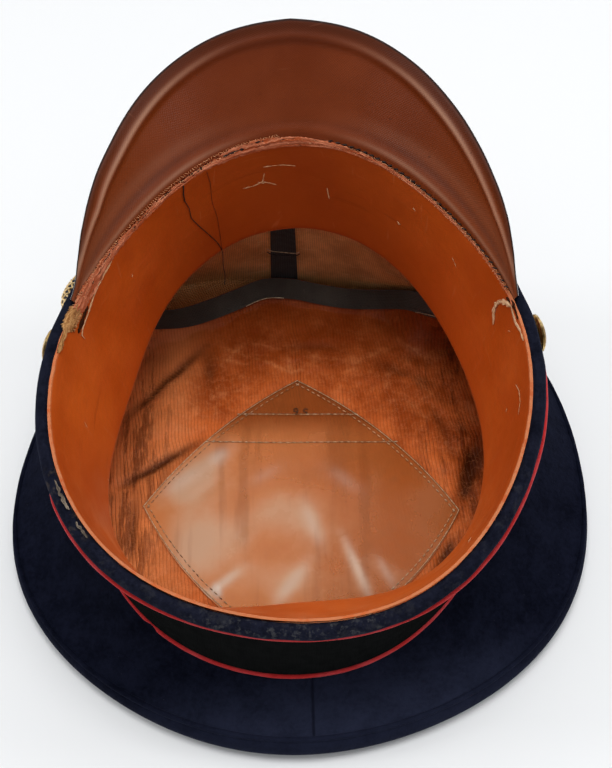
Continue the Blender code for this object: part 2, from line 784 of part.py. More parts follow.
def main():
    clear_scene()
    navy = make_material("navy_wool", (0.016, 0.018, 0.055), 0.95)
    strip = make_material("navy_strip", (0.014, 0.017, 0.045), 0.9)
    black = make_material("black_trim", (0.006, 0.007, 0.007), 0.85)
    red = make_material("red_piping", (0.50, 0.03, 0.025), 0.8)
    leather = make_material("brown_leather", (0.36, 0.09, 0.018), 0.5)
    lacquer = make_material("visor_lacquer", (0.12, 0.03, 0.010), 0.3)
    oilcloth = make_material("oilcloth_lining", (0.32, 0.10, 0.025), 0.55)
    celluloid = make_material("celluloid", (0.55, 0.30, 0.15), 0.25)
    canvas = make_material("brown_canvas", (0.14, 0.06, 0.018), 0.9)
    tape = make_material("black_tape", (0.012, 0.011, 0.009), 0.8)
    stay = make_material("black_stay", (0.008, 0.008, 0.008), 0.7)
    braid = make_material("gold_braid", (0.55, 0.36, 0.12), 0.45, 0.6)
    brass = make_material("brass_button", (0.60, 0.40, 0.14), 0.35, 1.0)

    make_crown_top(navy)
    make_crown_side(navy)
    make_crown_welt(navy)
    make_band_core(strip)
    make_band_trim(black)
    make_piping("piping_lower", EDGE_STRIP, red)
    make_piping("piping_upper", BAND_HEIGHT, red)
    make_sweatband(leather)
    make_lining(oilcloth)
    make_sweat_shield(celluloid)
    make_front_canvas(canvas)
    make_lining_tape(tape)
    make_front_stay(stay)
    make_visor(lacquer)
    make_chin_cord(braid)
    make_button("button_right", BUTTON_RIGHT_AT, brass)
    make_button("button_left", BUTTON_LEFT_AT, brass)


main()
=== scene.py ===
"""The dressed visor cap: fine cloth, leather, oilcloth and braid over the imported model, in metres."""

from math import acos, atan2, cos, degrees, exp, hypot, pi, radians, sin

import bmesh
import bpy
import numpy as np
from mathutils import Matrix, Vector
from mathutils.noise import noise


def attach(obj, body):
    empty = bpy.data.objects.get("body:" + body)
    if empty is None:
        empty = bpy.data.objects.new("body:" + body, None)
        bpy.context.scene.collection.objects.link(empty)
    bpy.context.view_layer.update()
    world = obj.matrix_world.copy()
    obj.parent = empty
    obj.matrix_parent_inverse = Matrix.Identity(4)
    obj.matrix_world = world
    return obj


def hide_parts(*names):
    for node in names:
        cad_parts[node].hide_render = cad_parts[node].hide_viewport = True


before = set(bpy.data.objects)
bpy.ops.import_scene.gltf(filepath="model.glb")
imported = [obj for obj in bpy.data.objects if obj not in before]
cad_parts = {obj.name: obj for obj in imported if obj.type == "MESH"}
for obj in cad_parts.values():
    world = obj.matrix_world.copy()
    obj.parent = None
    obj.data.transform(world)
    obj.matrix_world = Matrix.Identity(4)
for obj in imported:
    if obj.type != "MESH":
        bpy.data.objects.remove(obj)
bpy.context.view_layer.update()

# Camera
CAMERA_PLACE = (0.0047, -0.30125, 0.4456)
CAMERA_DIP = 51.514  # degrees below the horizon
CAMERA_ROLL = -1.8296
LENS = 61.16
SENSOR = 36.0

# Light: the side of the room that stays dark in reflections, how bright the room is, and lamps with
# their place, size, power and whether they are seen in reflections
DARK_SIDE = (0.0, -0.79, 0.613)
ROOM = 0.56
LAMPS = (
    ("lamp_opening", (0.05, -0.02, 1.36), 0.7, 9.0, False),
    ("lamp_above", (0.0, 0.60, 1.15), 1.0, 1.4, True),
    ("lamp_left", (-1.1, 0.10, 0.8), 0.30, 2.4, True),
    ("lamp_right", (1.1, 0.10, 0.8), 0.30, 2.4, True),
)

# Sizes of the solids, as in their source
HEAD_WIDTH = 0.1660
HEAD_LENGTH = 0.1828
BAND_HEIGHT = 0.0493
BAND_WALL = 0.0034
BAND_TAPER = 0.0031
EDGE_STRIP = 0.0077
STRIP_BULGE = 0.0020
TRIM = 0.0012
PIPING = 0.0020
CROWN_WIDTH = 0.2310
CROWN_LENGTH = 0.2368
CROWN_ROLL = 0.0053
FRONT_RISE = 0.0635
REAR_RISE = 0.0221
CLOTH = 0.0018
CROWN_SAG = 0.0022
WELT = 0.0020
LEATHER = 0.0012
SWEATBAND_WIDTH = 0.0459
SWEATBAND_LEAN = 0.0079
LINING = 0.0010
CANVAS = 0.0010
CANVAS_HALF = 56.0
CANVAS_FADE = 12.0
CORNER_FADE = 24.0
FOOT_RUN = 0.9
TAPE_THICK = 0.0008
TAPE_WIDTH = 0.0090
TAPE_START = 33.0
TAPE_END = 147.0
STAY_WIDTH = 0.0110
STAY_THICK = 0.0015
STAY_OFFSET = -0.0033
STAY_CLEAR = 0.0010
STAY_BEHIND_TAPE = 0.0045  # how far the stay goes down behind the tape
SHIELD_WIDTH = 0.1260
SHIELD_LENGTH = 0.1320
SHIELD_THICK = 0.0005
SHIELD_BACK = 0.0137
SHIELD_TURN = -3.0
SHIELD_BOWS = (0.13, 0.125, 0.15, 0.20)  # upper right, upper left, lower left, lower right edge
VISOR_LENGTH = 0.0446
VISOR_THICK = 0.0016
VISOR_SLOPE = 45.0
VISOR_END_SLOPE = 84.0
VISOR_ROOT = 0.8
VISOR_MIDDLE = 88.5
VISOR_RELIEF = 0.0009
RIDGE_INSET = 0.0080
CORD = 0.0044
CORD_SLACK = 0.0050
CORD_SPREAD = 0.0130
BUTTON_WIDTH = 0.0140
BUTTON_HEIGHT = 0.0030
SHANK = 0.0030
BUTTON_RIGHT_AT = 9.0
BUTTON_LEFT_AT = 171.0
GAP = 0.0003
LOOSE = 0.0005
FLAT_SHARES = (0, 0.6)
ROLL_SHARES = (0, 0.25, 0.5, 0.75, 1)
SIDE_SHARES = (0, 0.15, 0.4, 0.7, 1)
LEAN_POWER = 1.3
FREE_EDGE_DROP = 0.13

# Fineness of the dressed pieces
AROUND = 240
VISOR_STEPS = 200

LAYERS = BAND_WALL + GAP + LEATHER
BAND_HALF_X = HEAD_WIDTH / 2 + LAYERS
BAND_HALF_Y = HEAD_LENGTH / 2 + LAYERS
TILT = atan2(FRONT_RISE - REAR_RISE, 2 * BAND_HALF_Y)
UPPER_RISE = (FRONT_RISE + REAR_RISE) / 2
SEAT = PIPING / 2 + GAP
TRIM_FACE = GAP - SEAT + TRIM
STRAND = (CORD + GAP) / 2
CORD_LOOP = SHANK / 2 + GAP + CORD / 2
CORD_LINE = EDGE_STRIP + SEAT + CORD / 2 + CORD_LOOP
OPENING_NORMAL = Vector((0, -sin(TILT), cos(TILT)))
UP = Vector((0, 0, 1))

# Waves round the cap: count, cosine part, sine part
OPENING_WAVES = [(2, -0.021, 0.009), (3, -0.005, -0.041), (4, 0.008, 0.007), (5, 0.004, 0.006)]
CROWN_WAVES = [
    (1, 0.004, -0.004), (2, 0.010, -0.011), (3, 0.013, 0.003), (4, -0.019, 0.014), (5, -0.009, -0.013),
]
RIM_LIFT_WAVES = [(2, 0.098, 0.002), (3, -0.011, -0.007)]
UPPER_OUT_WAVES = [(2, -0.071, 0.001), (3, 0.036, 0.047)]
LEAN_WAVES = [(1, -0.06, -0.32), (2, -0.23, -0.11), (3, 0.02, 0.56), (4, 0.30, 0.08)]

# Visor sections: degrees from its middle, reach right, reach left, root fold's share
VISOR_SECTIONS = [
    (0, 1.000, 1.000, 0.14), (10, 0.960, 0.964, 0.15), (20, 0.878, 0.885, 0.18),
    (30, 0.789, 0.789, 0.22), (40, 0.710, 0.683, 0.26), (50, 0.623, 0.581, 0.29),
    (60, 0.497, 0.417, 0.32), (67, 0.319, 0.237, 0.34), (72, 0.146, 0.090, 0.36),
    (75, 0.050, 0.045, 0.38),
]
# Edge strip: inset share of BAND_WALL, bulge share of STRIP_BULGE, depth share of EDGE_STRIP
RIM_PROFILE = [
    (1.0, 0.00, 0.16), (0.6, 0.00, 0.05), (0.2, 0.00, 0.06), (0.0, 0.70, 0.20), (0.0, 1.00, 0.42),
    (0.0, 0.65, 0.66),
]
# Degrees, half width in degrees and strength: slack of the cord, dents of the crown, folds of the lining
SLACKS = [(156, 8, 1.0), (22, 8, 0.35)]
CROWN_DENTS = [(205, 16, 0.8), (232, 12, -0.6), (270, 10, 0.5), (318, 14, -0.7), (345, 12, 0.6)]
LINING_FOLDS = [(152, 7, 1.6), (176, 8, 1.4), (198, 7, 1.2), (8, 7, 1.3), (340, 8, 1.5), (315, 7, 1.2)]
# Lining's front edge: degrees, height share, stand-off as a share of TAPE_WIDTH
LINING_EDGE = [
    (0, 1.00, 0.00), (22, 0.98, 0.00), (34, 0.80, 0.06), (45, 0.55, 0.20), (52, 0.38, 0.20),
    (60, 0.20, 0.12), (68, 0.13, 0.28), (75, 0.12, 0.44), (82, 0.12, 0.42), (90, 0.12, 0.28),
    (97, 0.12, 0.36), (105, 0.17, 1.03), (112, 0.24, 1.42), (120, 0.24, 1.33), (128, 0.30, 0.78),
    (135, 0.45, 0.12), (146, 0.75, 0.00), (158, 0.98, 0.00), (180, 1.00, 0.00),
]

# Folds of the lining, in mm: start x, y, end x, y, half width, height (below 0 for a valley)
LINING_CREASES = [
    (-39, 74, -74, 32, 2.4, -1.8), (-38, 72, -37, 48, 3.0, -0.9), (-40, 22, -75, -2, 2.2, -1.5),
    (-46, 56, -62, 22, 8.0, 2.2), (-44, 38, -70, 14, 4.0, 0.8), (-66, -4, -66, -36, 2.0, -1.0),
    (-61, -8, -60, -38, 2.4, 0.9), (-74, 20, -78, -14, 2.6, 1.0), (75, 17, 66, -14, 3.0, -2.2),
    (61, -29, 53, -48, 2.4, -2.0), (38, 80, 66, 62, 3.2, 1.0), (64, 64, 76, 34, 3.0, 1.0),
    (34, 62, 62, 46, 2.6, -0.8), (46, 56, 66, 30, 3.0, 0.8), (56, 44, 66, 8, 2.2, -0.7),
    (-12, 82, 20, 84, 3.5, 0.6), (-6, 72, 24, 70, 2.0, -0.5), (-30, 70, -6, 60, 1.6, 0.5),
    (-24, 62, 10, 66, 1.4, 0.5), (-32, 60, -20, 74, 1.2, 0.4), (4, 58, 30, 66, 1.4, 0.5),
]
# Pale rubbed cracks of the lining, in mm: start x, y, end x, y, half width, strength
LINING_RUBS = [
    (-2, 57, -14, 64, 0.8, 0.9), (-2, 57, -3, 66, 0.7, 0.9), (-2, 57, 8, 60, 0.8, 0.7),
    (-14, 64, -32, 72, 0.7, 0.8), (-33, 60, -22, 74, 0.7, 0.7), (-36, 66, -20, 62, 0.7, 0.6),
    (-20, 74, -4, 70, 0.6, 0.5), (4, 66, 26, 62, 0.8, 0.5), (24, 60, 44, 70, 1.4, 0.6),
    (46, 74, 60, 60, 1.6, 0.6), (50, 56, 62, 36, 1.6, 0.6), (44, 46, 56, 28, 1.2, 0.5),
    (-44, 62, -60, 44, 2.0, 0.5), (-50, 36, -66, 22, 2.4, 0.6), (-60, 12, -44, 22, 1.6, 0.7),
    (-56, -6, -60, -30, 1.6, 0.4), (58, 4, 62, -16, 1.8, 0.5),
]
# Creases of the shield, also drawn pale as painted highlights, and its cloudy places with painted sheen, in
# the same columns
SHIELD_CREASES = [
    (17, -26, 28, -60, 1.8, 0.5), (-22, -41, -37, -53, 2.0, 0.45), (4, -38, -11, -60, 2.4, 0.35),
    (-28, 17, -37, 8, 3.0, 0.6), (-38, 8, -56, -6, 3.4, 0.4), (-30, 2, -44, -10, 2.4, -0.6),
    (2, -10, 9, -34, 2.6, 0.35), (30, -36, 37, -54, 1.8, 0.35), (-16, -14, -30, -34, 3.0, -0.4),
    (12, 6, 26, -8, 3.2, 0.3), (-33, -48, -31, -54, 1.6, 1.3), (-6, 8, -20, -2, 3.0, 0.3),
]
SHIELD_MILK_AND_SHEEN = [
    (-28, 16, -56, -8, 7.0, 0.70), (-24, 2, -52, -12, 8.0, 0.45), (-50, -12, -36, -48, 10.0, 0.80),
    (-42, -16, -16, -32, 12.0, 0.60), (-20, -6, 8, -26, 11.0, 0.50), (-30, -44, 12, -50, 9.0, 0.50),
    (2, -12, 10, -34, 4.0, 0.35), (16, -26, 28, -60, 2.6, 0.60), (-21, -40, -38, -54, 2.4, 0.55),
    (4, -38, -12, -60, 3.6, 0.50), (-39, -49, -36, -56, 2.0, 1.0), (24, -34, 40, -52, 5.0, 0.30),
]
# Marks of wear in the sweatband: lines of degrees and shares of its width. TEAR_GAP is a line of painted
# shade in the tear.
PALE_CRACKS = [
    [(102.3, 0.43), (99, 0.44), (97, 0.425), (96.2, 0.40)], [(96.8, 0.43), (96.4, 0.38), (96, 0.325)],
    [(96.6, 0.425), (94.8, 0.455), (93, 0.49)], [(96.2, 0.25), (94, 0.255), (91, 0.26), (87.8, 0.28)],
    [(98.0, 0.41), (96.5, 0.44), (95.8, 0.43)], [(79.5, 0.5), (79.2, 0.56), (78.75, 0.625)],
    [(57.75, 0.5), (57.2, 0.52), (56.6, 0.51)], [(53.6, 0.22), (52.6, 0.235)],
    [(36.9, 0.34), (35.6, 0.36), (34.5, 0.385)], [(143.3, 0.37), (143.9, 0.39)],
    [(187.4, 0.5), (187.9, 0.52), (188.3, 0.55)], [(197.6, 0.95), (198.2, 0.97)],
    [(355.8, 0.27), (353.5, 0.22), (350.5, 0.20), (347.6, 0.23)], [(351.6, 0.49), (352.6, 0.46)],
    [(8.6, 0.19), (9.3, 0.21)], [(262, 0.30), (263.5, 0.31)], [(318, 0.42), (316.5, 0.40), (316, 0.36)],
]
LAP_EDGE = [
    (14.6, 0.38), (15.6, 0.34), (16.8, 0.30), (17.2, 0.22), (16.6, 0.15), (14.6, 0.07), (12.6, 0.03),
    (10.5, 0.05), (8.6, 0.06), (6.0, 0.03), (3.0, 0.02),
]
LEFT_TEAR = [
    (147.5, 0.045), (152, 0.065), (157.5, 0.10), (163, 0.155), (165, 0.165), (167, 0.175),
    (168.4, 0.20), (168.5, 0.25),
]
TEAR_GAP = [(161.5, 0.105), (163, 0.115), (165, 0.13), (167, 0.14), (168.8, 0.15)]
# Slits in the torn strip, drawn as dark slivers of painted shade: from and to in degrees, place as a share of
# the joint, width in mm
STRIP_SLITS = [
    (95.5, 99, 0.62, 0.6), (100, 106.5, 0.42, 0.8), (88, 92, 0.45, 0.5), (121, 127, 0.42, 0.4),
    (131, 138, 0.30, 0.4), (142, 151, 0.52, 0.5), (154, 160, 0.35, 0.5), (112, 116, 0.30, 0.5),
]
# The torn strip: degrees, its two sides as shares of the joint, where it starts on the sweatband
TORN_STRIP = [
    (12, 0.22, 0.46, 0.012), (40, 0.14, 0.48, 0.018), (72, 0.08, 0.55, 0.026), (90, 0.02, 0.80, 0.040),
    (101, 0.00, 0.90, 0.040), (107, 0.04, 0.76, 0.030), (113, 0.16, 0.56, 0.018),
    (119, 0.14, 0.56, 0.018), (126, 0.10, 0.70, 0.024), (134, 0.10, 0.66, 0.026),
    (146, 0.04, 0.86, 0.040), (156, 0.00, 0.98, 0.075), (162, 0.02, 1.00, 0.100),
    (165, 0.20, 0.90, 0.120),
]
# A loose thread in the same way as the marks of wear, how its end falls, in mm, and a finer thread
LOOSE_THREAD = [
    (118.5, 0.0), (119.2, 0.10), (119.3, 0.19), (118.4, 0.30), (118.6, 0.42), (116.8, 0.56),
    (114.4, 0.72), (112.0, 0.88), (111.0, 1.0),
]
THREAD_FALL = [(0.0, -0.8, -3), (-0.3, -1.4, -8), (0.3, -1.6, -13), (-0.4, -1.8, -18.5)]
FINE_THREAD = [(111.3, 0.03), (110.8, 0.2), (111.4, 0.4), (110.7, 0.6), (110.9, 0.8), (111.1, 0.98)]
# Rubbed places of the edge strip: from, to and fade as shares of a turn, colour, size, strength
STRIP_WEAR = [
    (0.67, 0.82, 0.03, (0.070, 0.070, 0.072), 420.0, 0.5),
    (0.56, 0.612, 0.01, (0.16, 0.12, 0.075), 190.0, 0.3),
    (0.60, 0.95, 0.02, (0.040, 0.040, 0.046), 160.0, 0.3),
]
# Where the upper piping is worn through and where the lower one is seen from, in degrees
PIPING_WORN_AT = 233.0
PIPING_SEEN_FROM = 206.0
# Seams across the shield, in metres, and cream threads on the tape: degrees and how far they bow up
SHIELD_SEAMS = [(-0.0230, 0.0345, 0.0266, 0.0323), (-0.0371, 0.0205, 0.0413, 0.0176)]
TAPE_THREADS = [(92.0, 104.0, 0.0002), (42.0, 55.0, 0.0012)]
# How far the lower piping stands out from the band, in mm, by degrees
PIPING_STAND = [
    (0, 2.4), (15, 1.4), (35, 0.6), (90, 0.3), (150, 0.6), (168, 1.4), (185, 2.4), (200, 2.5),
    (208, 2.3), (215, 2.15), (222, 1.9), (230, 1.4), (240, 0.8), (250, 0.2), (260, 0.0), (280, 0.0),
    (290, 0.4), (300, 1.2), (310, 1.8), (320, 2.2), (330, 2.5), (345, 2.9), (360, 2.4),
]


def waves(rows, angle):
    return sum(c * cos(n * angle) + s * sin(n * angle) for n, c, s in rows)


def slope_at(rows, index, column):
    low, high = max(index - 1, 0), min(index + 1, len(rows) - 1)
    return (rows[high][column] - rows[low][column]) / (rows[high][0] - rows[low][0])


def between(rows, place, column):
    """A table's column at a place in its first column, on a smooth curve through its rows."""
    if place <= rows[0][0]:
        return rows[0][column]
    if place >= rows[-1][0]:
        return rows[-1][column]
    index = max(i for i in range(len(rows) - 1) if rows[i][0] <= place)
    width = rows[index + 1][0] - rows[index][0]
    share = (place - rows[index][0]) / width
    start, end = rows[index][column], rows[index + 1][column]
    lean_in = width * slope_at(rows, index, column)
    lean_out = width * slope_at(rows, index + 1, column)
    rise = share * share * (3 - 2 * share)
    ease_in = share * (1 - share) ** 2
    ease_out = share * share * (share - 1)
    return start + (end - start) * rise + lean_in * ease_in + lean_out * ease_out


def angle_from(angle, place):
    return (degrees(angle) - place + 180) % 360 - 180


def bump(angle, rows):
    return sum(height * exp(-((angle_from(angle, at) / half) ** 2)) for at, half, height in rows)


def eased(share):
    share = min(max(share, 0), 1)
    return share * share * (3 - 2 * share)


def ring_point(angle, grow, depth):
    """A point of the band, grow outside the opening's outline and depth below its rim."""
    swell = 1 + waves(OPENING_WAVES, angle)
    lift = BAND_HEIGHT * waves(RIM_LIFT_WAVES, angle) * (1 - depth / BAND_HEIGHT / 2)
    x = (BAND_HALF_X * swell + grow) * cos(angle)
    y = (BAND_HALF_Y * swell + grow) * sin(angle)
    down = depth - lift - BAND_HEIGHT
    y, z = (
        y * cos(TILT) + down * sin(TILT),
        UPPER_RISE + y * sin(TILT) - down * cos(TILT),
    )
    return Vector((x, y, z))


def face_point(angle, out, depth):
    at_upper = BAND_HEIGHT * waves(UPPER_OUT_WAVES, angle) - BAND_TAPER
    return ring_point(angle, at_upper * depth / BAND_HEIGHT + out, depth)


def along_ring(angle, depth):
    step = radians(0.5)
    return (ring_point(angle + step, 0, depth) - ring_point(angle - step, 0, depth)).normalized()


def outward(angle, depth):
    return along_ring(angle, depth).cross(OPENING_NORMAL).normalized()


def front_share(angle):
    off = abs(angle_from(angle, 90))
    return eased((CANVAS_HALF + CANVAS_FADE - off) / CANVAS_FADE)


def corner_share(angle):
    off = abs(angle_from(angle, 90))
    return eased((CANVAS_HALF - off) / CORNER_FADE)


def lining_inset(angle):
    return CLOTH + GAP + (CANVAS + LOOSE) * front_share(angle)


def lining_edge(angle):
    turn = degrees(angle) % 360
    if turn > 180:
        return 1, 0
    return between(LINING_EDGE, turn, 1), TAPE_WIDTH * max(between(LINING_EDGE, turn, 2), 0)


def piping_stand(angle):
    return between(PIPING_STAND, degrees(angle) % 360, 1) * 0.001


def strip_over(angle):
    """How far the edge strip covers the lower piping, as a share."""
    turn = degrees(angle) % 360
    return eased((turn - 120) / 10) * eased((PIPING_SEEN_FROM + 3 - turn) / 6)


def piping_out(angle):
    return piping_stand(angle) - 0.0012 * strip_over(angle)


class CrownSection:
    """The crown's outer surface at one angle: flat, rolled edge, then the side up to the band."""

    def __init__(self, angle):
        self.angle = angle
        swell = 1 + waves(CROWN_WAVES, angle)
        half_x, half_y = CROWN_WIDTH / 2 * swell, CROWN_LENGTH / 2 * swell
        edge = Vector((half_x * cos(angle), half_y * sin(angle), CROWN_ROLL))
        self.out = Vector((edge.x, edge.y, 0)).normalized()
        self.middle = edge - self.out * CROWN_ROLL
        self.top = face_point(angle, 0, BAND_HEIGHT + SEAT)
        reach = self.top - self.middle
        across, height = reach.dot(self.out), reach.z
        direction = atan2(height, across)
        self.seam = direction - acos(CROWN_ROLL / hypot(across, height))
        self.seam_point = self.roll_point(self.seam, 0)
        self.width = (self.top - self.seam_point).length
        self.sag = CROWN_SAG * (1 + bump(angle, CROWN_DENTS)) * (1 - front_share(angle))

    def normal(self, roll):
        return self.out * cos(roll) + UP * sin(roll)

    def roll_at(self, share):
        return (self.seam + pi / 2) * share - pi / 2

    def roll_point(self, roll, inset):
        return self.middle + self.normal(roll) * (CROWN_ROLL - inset)

    def side_point(self, share, inset):
        straight = self.seam_point.lerp(self.top, share)
        sag = self.sag * 4 * share * (1 - share)
        return straight - self.normal(self.seam) * (sag + inset)

    def flat_point(self, share, inset):
        return Vector((self.middle.x * share, self.middle.y * share, inset))


def lining_plain(section):
    height = lining_edge(section.angle)[0]
    floor, inset = CLOTH + GAP, lining_inset(section.angle)
    fold = LINING * bump(section.angle, LINING_FOLDS)
    taped = TAPE_START < degrees(section.angle) % 360 < TAPE_END
    row = []
    for share in ROLL_SHARES:
        roll = section.roll_at(share)
        row.append(section.roll_point(roll, floor + (inset - floor) * min(share * 2, 1)))
    for step, share in enumerate(SIDE_SHARES[1:]):
        place = height - TAPE_WIDTH / section.width * (1 - step / 3) if taped else height * share
        row.append(section.side_point(place, inset + fold * sin(pi * share)))
    return row


def lining_cut(section):
    height, stand = lining_edge(section.angle)
    edge = section.side_point(height, lining_inset(section.angle) + stand)
    start = section.flat_point(FLAT_SHARES[-1], CLOTH + GAP)
    foot = Vector((edge.x, edge.y, start.z)) - section.out * (edge.z - start.z) * FOOT_RUN
    rise = edge - foot
    along = rise.normalized()
    row = [start.lerp(foot, (2 + i) / 5) for i in range(3)]
    row.append(foot)
    taped = [rise.length - TAPE_WIDTH * (1 - step / 3) for step in range(4)]
    row.append(foot + along * taped[0] / 2)
    row.extend(foot + along * length for length in taped)
    return row


def lining_line(angle):
    """The lining's outer face at one angle, from the floor's middle to its free edge."""
    section = CrownSection(angle)
    share = corner_share(angle)
    row = [section.flat_point(place, CLOTH + GAP) for place in FLAT_SHARES]
    row.extend(p.lerp(c, share) for p, c in zip(lining_plain(section), lining_cut(section)))
    return row


def evenly(first, last, steps):
    return [first + (last - first) * i / steps for i in range(steps + 1)]


def arc(first, last, steps):
    """Angles at even steps between two places in degrees."""
    return [radians(at) for at in evenly(first, last, steps)]


def angles(count=AROUND):
    return [2 * pi * i / count for i in range(count)]


def spoke(angle, rise=0.0):
    return Vector((cos(angle), sin(angle), rise))


def inward(angle, rise):
    return Vector((-cos(angle), -sin(angle), rise)).normalized()


def smooth_line(points, count, times=4):
    """Points made even along a line, with its corners rounded."""
    line = np.array([tuple(p) for p in points])
    lengths = np.insert(np.cumsum(np.linalg.norm(np.diff(line, axis=0), axis=1)), 0, 0)
    places = np.linspace(0, lengths[-1], count)
    even = np.stack([np.interp(places, lengths, line[:, k]) for k in range(3)], axis=1)
    for _ in range(times):
        even[1:-1] = (even[:-2] + 2 * even[1:-1] + even[2:]) / 4
    return [Vector(p) for p in even]


def near_lines(x, y, rows):
    """The summed strength of a table's strokes at places in mm."""
    total = np.zeros_like(x)
    for x0, y0, x1, y1, half, strength in rows:
        run_x, run_y = x1 - x0, y1 - y0
        share = np.clip(((x - x0) * run_x + (y - y0) * run_y) / (run_x**2 + run_y**2), 0, 1)
        off = np.hypot(x - x0 - share * run_x, y - y0 - share * run_y) / half
        total += strength * np.exp(-off * off) * (0.12 + 0.88 * np.sin(np.pi * np.clip(share, 0.03, 0.97)))
    return total


def points_of(rows):
    return np.array([[tuple(place) for place in row] for row in rows])


def lengths_along(grid, axis, closed=False):
    """Lengths from the start of a grid of points along one axis, at every point."""
    if closed:
        grid = np.concatenate([grid, grid.take([0], axis)], axis)
    steps = np.linalg.norm(np.diff(grid, axis=axis), axis=2)
    return np.insert(np.cumsum(steps, axis=axis), 0, 0, axis=axis)


def mapped(first, second):
    return np.stack(np.broadcast_arrays(np.array(first)[:, None], second), axis=2)


def grid_normals(grid):
    """Directions across a closed grid of points, grid[i][j], to the side that turns from i to j."""
    around = np.roll(grid, -1, axis=0) - np.roll(grid, 1, axis=0)
    normal = np.cross(around, np.gradient(grid, axis=1))
    length = np.linalg.norm(normal, axis=2, keepdims=True)
    bad = length[:, :, 0] < 1e-14
    normal /= np.maximum(length, 1e-14)
    normal[bad] = (0, 0, 1)
    return normal


def linked(name, data):
    obj = bpy.data.objects.new(name, data)
    bpy.context.scene.collection.objects.link(obj)
    return obj


def mesh_object(name, verts, faces, materials, picks=None, maps=None, sharp=50.0):
    """A mesh piece. maps is {layer name: one (u, v) for each corner of each face}."""
    mesh = bpy.data.meshes.new(name)
    mesh.from_pydata([tuple(v) for v in verts], [], faces)
    for material in materials:
        mesh.materials.append(material)
    if picks:
        mesh.polygons.foreach_set("material_index", picks)
    for layer, values in (maps or {}).items():
        mesh.uv_layers.new(name=layer).data.foreach_set("uv", values.astype(np.float32).reshape(-1))
    mesh.shade_smooth()
    mesh.set_sharp_from_angle(angle=radians(sharp))
    return linked(name, mesh)


def merged(obj):
    """Joins corners in one place, and turns the faces outwards."""
    shape = bmesh.new()
    shape.from_mesh(obj.data)
    bmesh.ops.remove_doubles(shape, verts=shape.verts, dist=1e-6)
    bmesh.ops.recalc_face_normals(shape, faces=shape.faces)
    shape.to_mesh(obj.data)
    shape.free()
    return obj


def loft(name, grid, closed, maps, materials, slots=None, caps=(), sharp=50.0, rims=()):
    """A skin over rings of points, grid[i][j]. maps hold (u, v) at each [i][j], slots each strip's
    material. rims are strips wound against the others, which keeps their edges sharp."""
    rows, columns = grid.shape[:2]
    squares = [(i, j) for i in range(rows if closed else rows - 1) for j in range(columns)]
    faces = [[(i, j), (i + 1, j), (i + 1, j + 1), (i, j + 1)] for i, j in squares]
    faces = [face[::-1] if j in rims else face for face, (_, j) in zip(faces, squares)] + list(caps)
    slots = slots or [0] * columns
    picks = [slots[j] for _, j in squares] + [slots[-1]] * len(caps)
    ids = [[a % rows * columns + b % columns for a, b in face] for face in faces]
    a, b = np.array([corner for face in faces for corner in face]).T
    layers = {layer: values[a, b] for layer, values in maps.items()}
    return merged(mesh_object(name, grid.reshape(-1, 3), ids, materials, picks, layers, sharp))


def shell(name, face, back, closed, materials, sharp=50.0, back_slot=0, marks=None):
    """A sheet between two grids of points, its edges closed, with maps of metres, shares and marks."""
    face, back = points_of(face), points_of(back)
    rows, columns = face.shape[:2]
    lengths = lengths_along(face, 0, closed).mean(axis=1)
    around = [i % rows for i in range(len(lengths))]
    across = [*range(columns), *reversed(range(columns)), 0]
    maps = {
        "metres": mapped(lengths, lengths_along(face, 1)[around][:, across]),
        "shares": mapped(np.linspace(0, 1, len(lengths)), np.array(across) / (columns - 1)),
    }
    if marks is not None:
        maps["marks"] = np.array(marks)[around][:, across]
    slots = [0] * (columns - 1) + [back_slot] * (columns + 1)
    ends = () if closed else [(i, j) for i in (0, rows - 1) for j in range(columns - 1)]
    caps = [[(i, j), (i, j + 1), (i, 2 * columns - 2 - j), (i, 2 * columns - 1 - j)] for i, j in ends]
    caps = [cap if cap[0][0] else cap[::-1] for cap in caps]
    rims = (columns - 1, 2 * columns - 1)
    both = np.concatenate([face, back[:, ::-1]], axis=1)
    return loft(name, both, closed, maps, materials, slots, caps, sharp, rims)


def ring_loop(name, profiles, material):
    """A closed ring from closed sections, profiles[i][j]."""
    grid = points_of(profiles)
    rows, columns = grid.shape[:2]
    lengths = lengths_along(grid, 0, True).mean(axis=1)
    across = lengths_along(grid, 1, True)[[*range(rows), 0]]
    shares = mapped(np.linspace(0, 1, rows + 1), np.linspace(0, 1, columns + 1))
    return loft(name, grid, True, {"metres": mapped(lengths, across), "shares": shares}, [material])


def tube(name, points, radius, material, closed=False, sides=6, radii=None, flat=1.0, facing=None):
    """A tube along points with closed ends. facing is where its flat side looks."""
    line = [Vector(p) for p in points]
    count = len(line)
    rings = []
    for i, point in enumerate(line):
        after = (i + 1) % count if closed else min(i + 1, count - 1)
        before = i - 1 if closed else max(i - 1, 0)
        tangent = (line[after] - line[before]).normalized()
        lead = facing[i] if facing else side if i else tangent.orthogonal()
        side = (lead - tangent * lead.dot(tangent)).normalized()
        up = tangent.cross(side)
        wide = radii[i] if radii else radius
        rings.append([point + side * (cos(t) * wide * flat) + up * (sin(t) * wide) for t in angles(sides)])
    lengths = lengths_along(points_of([p] for p in line), 0, closed)[:, 0]
    maps = {"metres": mapped(lengths, np.linspace(0, 2 * pi * radius, sides + 1))}
    start = [(0, k) for k in range(sides)]
    caps = () if closed else [start, [(count - 1, k) for _, k in reversed(start)]]
    return loft(name, points_of(rings), closed, maps, [material], None, caps, 70.0)


def made_plain(maker, name):
    """The mesh that a modifier or a text makes, in the place of its maker."""
    graph = bpy.context.evaluated_depsgraph_get()
    mesh = bpy.data.meshes.new_from_object(maker.evaluated_get(graph), depsgraph=graph)
    bpy.data.objects.remove(maker, do_unlink=True)
    mesh.name = name
    return linked(name, mesh)


def joined(name, parts):
    """Several mesh objects as one."""
    bpy.ops.object.select_all(action="DESELECT")
    for part in parts:
        part.select_set(True)
    bpy.context.view_layer.objects.active = parts[0]
    bpy.ops.object.join()
    parts[0].name = parts[0].data.name = name
    return parts[0]


